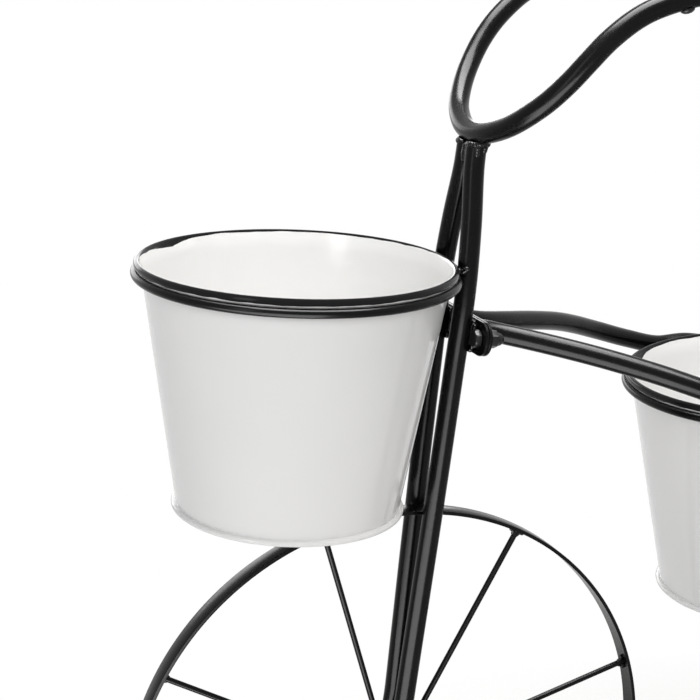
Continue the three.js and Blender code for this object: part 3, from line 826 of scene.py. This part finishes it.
M6_FLATS = 10.0
BOLT_R = 3.0
HEAD_H = 4.0
NUT_H = 5.2
NUT_DOME = 5.0
WASHER_R = 6.0
WASHER_T = 1.2
joint_x = JOINT_TURN @ Vector((1, 0, 0))
head_seat = FORK_PLATE_FRONT - SEAT_GAP
nut_seat = JOINT_BACK + 2 * SEAT_GAP + WASHER_T


for name, side_sign in BOTH_SIDES:
    y = side_sign * BOLT_HALF_Y
    head = hex_piece(f"flange_bolt_{name}", M6_FLATS, HEAD_H)
    turn(head, -joint_x, in_joint((head_seat, y, 0)))
    shank = thread_piece("shank", BOLT_R, nut_seat + NUT_H - head_seat)
    turn(shank, joint_x, in_joint((head_seat, y, 0)))
    finish_piece(join_pieces(head, shank), f"joint_bolt_{name}")
    washer = washer_piece(f"flange_washer_{name}", WASHER_R, BOLT_R + SEAT_GAP, WASHER_T)
    turn(washer, joint_x, in_joint((JOINT_BACK + SEAT_GAP, y, 0)))
    finish_piece(washer, f"joint_washer_{name}")
    nut = hex_piece(f"flange_nut_{name}", M6_FLATS, NUT_H, NUT_DOME)
    turn(nut, joint_x, in_joint((nut_seat, y, 0)))
    finish_piece(nut, f"joint_nut_{name}")

# Frame tubes

MIDDLE_X, MIDDLE_TOP = HOOP_TOPS["middle"]
REAR_X, REAR_TOP = HOOP_TOPS["rear"]
MIDDLE_AXIS_Z = MIDDLE_TOP - HOOP_ROD_R
REAR_AXIS_Z = REAR_TOP - HOOP_ROD_R
BOW_SHARES = (
    (0.043, 0.0065, 0.029), (0.087, 0.041, 0.069), (0.175, 0.155, 0.141), (0.3065, 0.362, 0.257),
    (0.438, 0.572, 0.4), (0.526, 0.708, 0.516), (0.636, 0.851, 0.67), (0.7675, 0.954, 0.82),
    (0.886, 0.999, 0.93),
)
# Extra drop of the right tube at each row, which is bent slightly otherwise than the left one
RIGHT_SAG = (0, 0, 0, 0, 0, -0.007, -0.005, 0.007, 0.047, 0.07, 0)
TAIL_SHARES = ((0.44, 0.052), (0.8, 0.13), (1.02, 0.262), (1.08, 0.42), (1.05, 0.64))
START_X = leg_x(JOINT_Z) + JOINT_BACK - TUBE_R / 2
START_Z = JOINT_Z + 2.0
START_HALF_Y = 13.5
SIDE_TUBE_STEPS = 280
TAIL_BLEND_START = REAR_WHEEL_R + FLAT_WIDTH * 1.2
TAIL_BLEND_END = TAIL_BLEND_START + FLAT_WIDTH * 1.3
BRACE_R = 4.0


def frame_points(side_sign):
    """A side tube's route: the bow from the joint, the straight rail, and the tail down to the axle."""
    points = []
    for sag, (run, out, drop) in zip(RIGHT_SAG, ((0, 0, 0), *BOW_SHARES, (1, 1, 1))):
        if side_sign > 0:
            drop += sag
        x = START_X + run * (MIDDLE_X - START_X)
        y = START_HALF_Y + out * (TUBE_HALF_Y - START_HALF_Y)
        points.append(Vector((x, y, START_Z - drop * (START_Z - MIDDLE_AXIS_Z))))
    for share in (0.33, 0.67, 1):
        x = MIDDLE_X + (REAR_X - MIDDLE_X) * share
        points.append(Vector((x, TUBE_HALF_Y, MIDDLE_AXIS_Z + (REAR_AXIS_Z - MIDDLE_AXIS_Z) * share)))
    for run, drop in (*TAIL_SHARES, (1, 1)):
        x = REAR_X + run * (REAR_AXLE_X - REAR_X)
        points.append(Vector((x, TUBE_HALF_Y, REAR_AXIS_Z - drop * (REAR_AXIS_Z - REAR_WHEEL_R))))
    beyond = (points[-1] - points[-2]).normalized() * (FLAT_WIDTH / 2)
    points.append(points[-1] + beyond)
    return [Vector((p.x, p.y * side_sign, p.z)) for p in points]


def cut_in_front(obj, plane_x):
    """Cuts off what lies in front of a plane across the joint and closes the end."""
    bm = bmesh.new()
    bm.from_mesh(obj.data)
    cut_at = in_joint((plane_x, 0, 0)) * MM
    geometry = list(bm.verts) + list(bm.edges) + list(bm.faces)
    bmesh.ops.bisect_plane(bm, geom=geometry, plane_co=cut_at, plane_no=joint_x, clear_inner=True)
    bmesh.ops.holes_fill(bm, edges=[e for e in bm.edges if e.is_boundary])
    bm.to_mesh(obj.data)
    bm.free()


for name, side_sign in BOTH_SIDES:
    points = frame_points(side_sign)
    centres = [catmull_rom(points, i / SIDE_TUBE_STEPS) for i in range(SIDE_TUBE_STEPS + 1)]
    sections = [
        (TUBE_R, TUBE_R) if i < SIDE_TUBE_STEPS / 2 else flat_section(c.z, TAIL_BLEND_START, TAIL_BLEND_END)
        for i, c in enumerate(centres)
    ]
    verts, faces = sweep(centres, Vector((0, 1, 0)), sections, TUBE_SIDES)
    tube = make_object(f"side_tube_{name}", verts, faces, tube_paint)
    cut_in_front(tube, JOINT_BACK + SEAT_GAP * 0.3)
    sharpen(tube)
    finish_piece(tube, f"frame_tube_{name}")

brace_x = (MIDDLE_X + REAR_X) / 2
brace_z = (MIDDLE_AXIS_Z + REAR_AXIS_Z) / 2
brace_half = TUBE_HALF_Y - TUBE_R - SEAT_GAP
brace_side = [(BRACE_R, stop) for stop in (-brace_half, -brace_half / 3, brace_half / 3, brace_half)]
brace = turned_piece("brace_rod", [(0, -brace_half), *brace_side, (0, brace_half)], 32, tube_paint)
turn(brace, (0, 1, 0), (brace_x, 0, brace_z))
finish_piece(brace, "cross_brace")

# Wheels
RIM_EASE = 0.5
HUB_EDGE = 0.5
HUB_SIDE_GAP = 0.4
REAR_HUB_LENGTH = 20.0
RUNNING_GAP = 0.35
ROD_START = HUB_R - 0.4
ROD_IN_RIM = 0.2
AXLE_R = 4.0


def rim_band(name, radius):
    """A rolled flat band with eased edges."""
    half = RIM_WIDTH / 2
    inner = radius - RIM_THICKNESS
    ease = RIM_EASE
    soft = ease * 0.3
    outline = [
        (inner + soft, -half), (radius - ease, -half), (radius - soft, -half + soft), (radius, -half + ease),
        (radius, half - ease), (radius - soft, half - soft), (radius - ease, half), (inner + soft, half),
        (inner, half - soft), (inner, -half + soft),
    ]
    return turned_piece(name, outline, 240, tube_paint, True, 30)


def hub_outline(length, bore):
    half = length / 2
    lower = [(bore, -half), (HUB_R - HUB_EDGE, -half), (HUB_R, -half + HUB_EDGE)]
    return lower + [(r, -z) for r, z in reversed(lower)]


def spoke_angle(k):
    return SPOKE_PHASE + math.tau * k / SPOKES


def spoke_rods(names, wheel_r, centre):
    """One round rod for each spoke, from inside the hub to inside the rim."""
    length = wheel_r - RIM_THICKNESS + ROD_IN_RIM - ROD_START
    stops = (ROD_START, ROD_START + length * 0.5, ROD_START + length)
    outline = [(0, stops[0]), *((SPOKE_R, stop) for stop in stops), (0, stops[-1])]
    rods = []
    for k, name in enumerate(names):
        rod = turned_piece(name, outline, 20, tube_paint)
        a = spoke_angle(k)
        turn(rod, (math.sin(a), 0, math.cos(a)), centre)
        rods.append(rod)
    return rods


def wheel_point(centre, radius, angle):
    return Vector((centre[0] + radius * math.sin(angle), centre[1], centre[2] + radius * math.cos(angle)))


def spoke_welds(prefix, centre, inner_r, body):
    """Small fillets on both sides of each spoke where it meets the rim's inside."""
    rng = random.Random(prefix)
    for k in range(SPOKES):
        for mark, side in (("a", -1), ("b", 1)):
            reach = rng.uniform(2.6, 4.2)
            depth = rng.uniform(3.4, 5.0)
            radius = rng.uniform(0.9, 1.35)
            path = [
                wheel_point(centre, inner_r - inward, spoke_angle(k) + side * aside / inner_r)
                for inward, aside in ((0.5, SPOKE_R + reach), (1.1, SPOKE_R + 0.6), (depth, SPOKE_R * 0.6))
            ]
            bead(f"{prefix}_spoke_weld_{k + 1}_{mark}", path, radius, k, 1.3, body)


front_centre = (AXLE_X, 0.0, FRONT_WHEEL_R)
rim = rim_band("wheel_band_front", FRONT_WHEEL_R)
turn(rim, (0, 1, 0), front_centre)
finish_piece(rim, "front_rim", body="front_wheel")
hub_length = 2 * (HUB_LEG_SHARE * CROWN_HALF_Y - FLAT_THICKNESS / 2 - HUB_SIDE_GAP)
hub = turned_piece("wheel_hub_front", hub_outline(hub_length, BOLT_R + RUNNING_GAP), 64, tube_paint, True, 30)
turn(hub, (0, 1, 0), front_centre)
finish_piece(hub, "front_hub", body="front_wheel")
rod_names = [f"wheel_rod_{k + 1}" for k in range(SPOKES)]
for k, rod in enumerate(spoke_rods(rod_names, FRONT_WHEEL_R, front_centre)):
    finish_piece(rod, f"front_spoke_{k + 1}", body="front_wheel")
spoke_welds("front", front_centre, FRONT_WHEEL_R - RIM_THICKNESS, "front_wheel")

for name, side_sign in BOTH_SIDES:
    centre = (REAR_AXLE_X, side_sign * REAR_WHEEL_Y, REAR_WHEEL_R)
    body = f"rear_wheel_{name}"
    rim = rim_band(f"wheel_band_rear_{name}", REAR_WHEEL_R)
    turn(rim, (0, 1, 0), centre)
    finish_piece(rim, f"rear_rim_{name}", body=body)
    outline = hub_outline(REAR_HUB_LENGTH, AXLE_R + RUNNING_GAP)
    star = turned_piece(f"wheel_star_rear_{name}", outline, 64, tube_paint, True, 30)
    turn(star, (0, 1, 0), centre)
    join_pieces(star, *spoke_rods(["rod"] * SPOKES, REAR_WHEEL_R, centre))
    finish_piece(star, f"rear_spokes_{name}", body=body)
    spoke_welds(f"rear_{name}", centre, REAR_WHEEL_R - RIM_THICKNESS, body)

# Axles

axle_seat = HUB_LEG_SHARE * CROWN_HALF_Y + FLAT_THICKNESS / 2 + SEAT_GAP
head = hex_piece("axle_bolt", M6_FLATS, HEAD_H)
turn(head, (0, -1, 0), (AXLE_X, -axle_seat, FRONT_WHEEL_R))
shank = thread_piece("shank", BOLT_R, 2 * axle_seat + NUT_H)
turn(shank, (0, 1, 0), (AXLE_X, -axle_seat, FRONT_WHEEL_R))
finish_piece(join_pieces(head, shank), "front_axle_bolt")
nut = hex_piece("axle_nut", M6_FLATS, NUT_H, NUT_DOME)
turn(nut, (0, 1, 0), (AXLE_X, axle_seat, FRONT_WHEEL_R))
finish_piece(nut, "front_axle_nut")

AXLE_EDGE = 0.4
AXLE_PAST_SEAT = 6.0
SPACER_R = 8.0
SPACER_PAST_TUBE = 1.6
CAP_NUT_FLATS = 13.0
CAP_NUT_H = 6.0
CAP_NUT_DOME = 5.0
spacer_inner = TUBE_HALF_Y + FLAT_THICKNESS / 2 + SEAT_GAP
spacer_length = SPACER_PAST_TUBE + (TUBE_R - FLAT_THICKNESS / 2)
rear_nut_seat = spacer_inner + spacer_length + SEAT_GAP + REAR_HUB_LENGTH + SEAT_GAP
axle_half = rear_nut_seat + AXLE_PAST_SEAT
outline = [(0, -axle_half), (AXLE_R - AXLE_EDGE, -axle_half), (AXLE_R, -axle_half + AXLE_EDGE)]
outline += [(r, -z) for r, z in reversed(outline)]
axle = turned_piece("axle_rod", outline, 40, fastener, angle=30)
turn(axle, (0, 1, 0), (REAR_AXLE_X, 0, REAR_WHEEL_R))
finish_piece(axle, "rear_axle")
for name, side_sign in BOTH_SIDES:
    axis = (0, side_sign, 0)
    spacer = washer_piece(f"axle_spacer_{name}", SPACER_R, AXLE_R + SEAT_GAP, spacer_length)
    turn(spacer, axis, (REAR_AXLE_X, side_sign * spacer_inner, REAR_WHEEL_R))
    finish_piece(spacer, f"rear_spacer_{name}")
    nut = hex_piece(f"axle_cap_nut_{name}", CAP_NUT_FLATS, CAP_NUT_H, CAP_NUT_DOME)
    turn(nut, axis, (REAR_AXLE_X, side_sign * rear_nut_seat, REAR_WHEEL_R))
    finish_piece(nut, f"rear_axle_nut_{name}")

# Weld beads between the frame's pieces

FIVE_STOPS = (-1, -0.5, 0, 0.5, 1)
FOUR_SHARES = (0, 0.35, 0.7, 1)
LEG_HOOP_WELD_R = 2.1
LEG_HOOP_WELD_HALF = 5.2
LEG_FACE_WELD_R = 1.8
PLATE_WELD_R = 1.8
PLATE_WELD_HALF = 5.5
PLATE_WELD_Z = 8.0
PLATE_SIDE_WELD_R = 1.7
TUBE_END_WELD_R = 1.25
TUBE_HOOP_WELD_R = 1.7
TUBE_HOOP_WELD_HALF = 8.0
TUBE_HOOP_WELD_LIFT = 2.4
BRACE_WELD_R = 1.1
BAR_WELD_R = 2.2
BAR_RUN_WELD_R = 1.7
GROOVE_WELD_R = 2.4


def ring_path(centre, normal, radius, count):
    """Points once round a circle about a normal, both ends at the same place."""
    normal = Vector(normal).normalized()
    reference = Vector((0, 0, 1)) if abs(normal.z) < 0.9 else Vector((1, 0, 0))
    first = (reference - normal * reference.dot(normal)).normalized()
    second = normal.cross(first)
    turns = [math.tau * k / (count - 1) for k in range(count)]
    return [
        Vector(centre) + first * (radius * math.cos(a)) + second * (radius * math.sin(a)) for a in turns
    ]


def on_leg(z, out, toward_front, side_sign):
    """A point at a height and a distance from a leg's axis, turned from its outer side to the front."""
    outward = math.sqrt(1 - toward_front**2)
    return Vector((leg_x(z) - out * toward_front, side_sign * (leg_half_y(z) + out * outward), z))


def leg_hoop_welds(name, side_sign):
    """Beads over, under and in front of the spot where a leg touches the front hoop."""
    leg_y = side_sign * leg_half_y(HOOP_AXIS_Z)
    toward_hoop = Vector((-LEG_HOOP_X, -leg_y, 0)).normalized()
    along_hoop = Vector((-toward_hoop.y, toward_hoop.x, 0))
    touch = Vector((LEG_HOOP_X, leg_y, HOOP_AXIS_Z)) + toward_hoop * TUBE_R
    for level, lift in (("top", HOOP_ROD_R * 0.75), ("under", -HOOP_ROD_R * 0.9)):
        path = []
        for s in FIVE_STOPS:
            beside = touch + along_hoop * (s * LEG_HOOP_WELD_HALF) + toward_hoop * (0.7 - 1.6 * s * s)
            path.append(beside + Vector((0, 0, lift + 0.6 * s * s)))
        bead(f"hoop_weld_{level}_{name}", path, LEG_HOOP_WELD_R, 3)
    path = [on_leg(HOOP_AXIS_Z + 1.2 + 3.8 * s, TUBE_R, 0.95 - 0.6 * s, side_sign) for s in FOUR_SHARES]
    bead(f"hoop_weld_face_{name}", path, LEG_FACE_WELD_R, 4)


def plate_welds(name, side_sign):
    """Beads where a leg carries the fork plate and where a side tube ends on the frame plate."""
    y = side_sign * leg_half_y(JOINT_Z)
    for edge, height in (("upper", 1), ("lower", -1)):
        z = height * PLATE_WELD_Z + height * 0.4
        path = []
        for s in (-1, -0.4, 0.4, 1):
            path.append(in_joint((FORK_PLATE_FRONT - 1.7 + 0.3 * s, y + s * PLATE_WELD_HALF, z)))
        bead(f"flange_weld_{edge}_{name}", path, PLATE_WELD_R, 5)
    path = [in_joint((FORK_PLATE_FRONT - 1.9, y + side_sign * 5.6, s * PLATE_WELD_Z)) for s in FIVE_STOPS]
    bead(f"flange_weld_side_{name}", path, PLATE_SIDE_WELD_R, 7)
    tube_start = in_joint((JOINT_BACK + 0.7, side_sign * (START_HALF_Y + 0.2), 1.6))
    path = ring_path(tube_start, joint_x, TUBE_R + 0.35, 24)
    bead(f"plate_weld_{name}", path, TUBE_END_WELD_R, 9)


def rail_welds(name, side_sign):
    """Beads where the rear hoops and the cross brace meet a side tube."""
    slope = (REAR_AXIS_Z - MIDDLE_AXIS_Z) / (REAR_X - MIDDLE_X)
    for hoop_name in ("middle", "rear"):
        beside = in_hoop(hoop_name, (0, 0, -HOOP_ROD_R))
        for level, lift in (("top", TUBE_HOOP_WELD_LIFT), ("under", -TUBE_HOOP_WELD_LIFT)):
            path = []
            for s in FIVE_STOPS:
                y = side_sign * (HOOP_OUTER_R - 0.1 - 0.35 * s * s)
                path.append(beside + Vector((s * TUBE_HOOP_WELD_HALF, y, lift + slope * s * 4)))
            bead(f"{hoop_name}_hoop_weld_{level}_{name}", path, TUBE_HOOP_WELD_R, 11)
    path = ring_path((brace_x, side_sign * (brace_half - 0.2), brace_z), (0, 1, 0), BRACE_R + 0.4, 20)
    bead(f"brace_weld_{name}", path, BRACE_WELD_R, 13)


def bar_welds(name, side_sign):
    """The bead round a leg's top under the handlebar, and two runs down the leg."""
    path = []
    for a in (-1.3, -0.8, -0.3, 0.2, 0.8, 1.4, 2.0, 2.6, 3.2, 3.8):
        y = side_sign * (LEG_TWIN_Y + 6.2 * math.sin(a))
        z = BAR_SEAT_Z - TUBE_R + 0.6 - 0.3 * math.cos(2 * a)
        path.append(Vector((BAR_SEAT_X + 5.6 * math.cos(a), y, z)))
    bead(f"bar_weld_{name}", path, BAR_WELD_R, 15)
    for number, (toward_front, below) in enumerate(((0.3, 7.5), (-0.55, 5.5))):
        path = [
            on_leg(LEG_TOP_Z + 0.8 - below * s, TUBE_R - 0.1 - 1.2 * s**2, toward_front, side_sign)
            for s in FOUR_SHARES
        ]
        bead(f"bar_weld_run_{number + 1}_{name}", path, BAR_RUN_WELD_R, 17 + number, 1.1)


for name, side_sign in BOTH_SIDES:
    leg_hoop_welds(name, side_sign)
    plate_welds(name, side_sign)
    rail_welds(name, side_sign)
    bar_welds(name, side_sign)

groove = [Vector((leg_x(z) - 4.2, 0, z)) for z in (LEG_TOP_Z + step for step in (0.8, -3, -7, -11))]
bead("bar_weld_groove", groove, GROOVE_WELD_R, 21, 0.8)

# Floor, light and camera, with the floor's and lamps' places and sizes in metres

FLOOR_R = 9.0
FLOOR_Z = -0.0006
SHADOW_REACH = (0.55, 0.32)
WORLD_LIGHT = 0.1


def seen_directly(tree):
    """1 for rays from the camera or a gloss or through a clear piece, and 0 for those that carry light."""
    path = tree.nodes.new("ShaderNodeLightPath")
    seen = add_math(tree, "MAXIMUM", path.outputs["Is Camera Ray"], path.outputs["Is Glossy Ray"])
    return add_math(tree, "MAXIMUM", seen, path.outputs["Is Transmission Ray"])


def floor_material():
    """A pale floor that keeps the object's shadow near it and runs out to plain white."""
    material, tree, shader = new_material("pale_floor")
    geometry = tree.nodes.new("ShaderNodeNewGeometry")
    shrink = tree.nodes.new("ShaderNodeVectorMath")
    shrink.operation = "MULTIPLY"
    shrink.inputs[1].default_value = (1 / SHADOW_REACH[0], 1 / SHADOW_REACH[1], 1.0)
    tree.links.new(geometry.outputs["Position"], shrink.inputs[0])
    length = tree.nodes.new("ShaderNodeVectorMath")
    length.operation = "LENGTH"
    tree.links.new(shrink.outputs["Vector"], length.inputs[0])
    reach = add_range(tree, length.outputs["Value"], 0.9, 1.4, 0, 1)
    share = add_math(tree, "MULTIPLY", seen_directly(tree), reach)
    white = tree.nodes.new("ShaderNodeEmission")
    white.inputs["Color"].default_value = (1, 1, 1, 1)
    white.inputs["Strength"].default_value = 1.0
    mix = tree.nodes.new("ShaderNodeMixShader")
    tree.links.new(share, mix.inputs["Fac"])
    tree.links.new(shader.outputs["BSDF"], mix.inputs[1])
    tree.links.new(white.outputs["Emission"], mix.inputs[2])
    tree.links.new(mix.outputs["Shader"], tree.nodes["Material Output"].inputs["Surface"])
    tone = add_noise(tree, geometry.outputs["Position"], 3.0)
    colour = add_mix(tree, tone, (0.76, 0.76, 0.76), (0.78, 0.78, 0.78))
    tree.links.new(colour, shader.inputs["Base Color"])
    shader.inputs["Roughness"].default_value = 0.9
    shader.inputs["Specular IOR Level"].default_value = 0.1
    return material


floor = turned_piece("studio_floor", [(0, 0), (FLOOR_R / MM, 0)], 96, floor_material())
floor.location = (0, 0, FLOOR_Z)

world = bpy.data.worlds.new("studio_world")
bpy.context.scene.world = world
world.use_nodes = True
background = world.node_tree.nodes["Background"]
strength = add_range(world.node_tree, seen_directly(world.node_tree), 0, 1, WORLD_LIGHT, 1.0)
world.node_tree.links.new(strength, background.inputs["Strength"])
background.inputs["Color"].default_value = (1, 1, 1, 1)


def softbox(name, at, target, size, power, colour=(1.0, 1.0, 1.0)):
    light = bpy.data.lights.new(name, "AREA")
    light.shape = "RECTANGLE"
    light.size, light.size_y = size
    light.energy = power
    light.color = colour
    obj = bpy.data.objects.new(name, light)
    bpy.context.scene.collection.objects.link(obj)
    obj.location = at
    obj.rotation_mode = "QUATERNION"
    obj.rotation_quaternion = (Vector(target) - Vector(at)).to_track_quat("-Z", "Y")
    return obj


AIM = (-0.33, 0.0, 0.45)
overhead = softbox("overhead_light", (0.0, 0.1, 2.05), AIM, (1.4, 1.2), 44.0, (1.0, 0.985, 0.97))
front = softbox("front_light", (-0.75, -1.95, 1.5), AIM, (1.2, 1.2), 19.5)
for light in (overhead, front):
    light.visible_glossy = False
softbox("side_light", (-1.93, -1.2, 1.0), AIM, (0.5, 1.6), 10.0, (0.99, 0.99, 1.0))
softbox("back_light", (-0.1, 2.4, 0.9), AIM, (2.4, 0.9), 20.0)

black_pieces = bpy.data.collections.new("black_pieces")
black_materials = (tube_paint, weld_paint, fastener, plastic)
for obj in bpy.context.scene.objects:
    if obj.type == "MESH" and obj.data.materials and obj.data.materials[0] in black_materials:
        black_pieces.objects.link(obj)


def reflected_card(name, at, target, size, power):
    """A bright card that shows in the black pieces' gloss alone."""
    card = softbox(name, at, target, size, power)
    card.visible_diffuse = False
    card.visible_camera = False
    card.light_linking.receiver_collection = black_pieces


reflected_card("ceiling_card", (-0.2, 0.0, 2.1), (-0.2, 0.0, 0.0), (1.55, 1.55), 270.0)
reflected_card("floor_card", (-0.86, -1.0, 0.002), (-0.86, -1.0, 1.0), (1.12, 1.7), 80.0)

CAMERA_DISTANCE = 1025.0
CAMERA_SLIDE = (26.76, 60.17)
CAMERA_AZIMUTH = math.radians(-17.74)
CAMERA_ELEVATION = math.radians(15.91)
CAMERA_ROLL = math.radians(0.62)
CAMERA_FOCAL_PX = 1724.79
CAMERA_CENTRE_PX = (251.05, 366.66)
PHOTO_PX = 700
SENSOR_WIDTH = 36.0
RIM_PLANE_Z = 518.5
right = Vector((math.cos(CAMERA_AZIMUTH), math.sin(CAMERA_AZIMUTH), 0))
level_back = Vector((math.sin(CAMERA_AZIMUTH), -math.cos(CAMERA_AZIMUTH), 0))
back = level_back * math.cos(CAMERA_ELEVATION) + Vector((0, 0, math.sin(CAMERA_ELEVATION)))
up = back.cross(right)
right_rolled = right * math.cos(CAMERA_ROLL) + up * math.sin(CAMERA_ROLL)
up_rolled = up * math.cos(CAMERA_ROLL) - right * math.sin(CAMERA_ROLL)
eye = back * CAMERA_DISTANCE - right_rolled * CAMERA_SLIDE[0] - up_rolled * CAMERA_SLIDE[1]
facing = Matrix((right_rolled, up_rolled, back)).transposed().to_4x4()
camera_data = bpy.data.cameras.new("photo_camera")
camera_data.sensor_width = SENSOR_WIDTH
camera_data.lens = CAMERA_FOCAL_PX / PHOTO_PX * SENSOR_WIDTH
camera_data.shift_x = (PHOTO_PX / 2 - CAMERA_CENTRE_PX[0]) / PHOTO_PX
camera_data.shift_y = (CAMERA_CENTRE_PX[1] - PHOTO_PX / 2) / PHOTO_PX
camera_data.clip_start = 0.05
camera_data.clip_end = 50.0
camera = bpy.data.objects.new("photo_camera", camera_data)
bpy.context.scene.collection.objects.link(camera)
camera.matrix_world = Matrix.Translation(place((eye.x, eye.y, eye.z + RIM_PLANE_Z))) @ facing
bpy.context.scene.camera = camera

bpy.context.scene.view_settings.view_transform = "Standard"
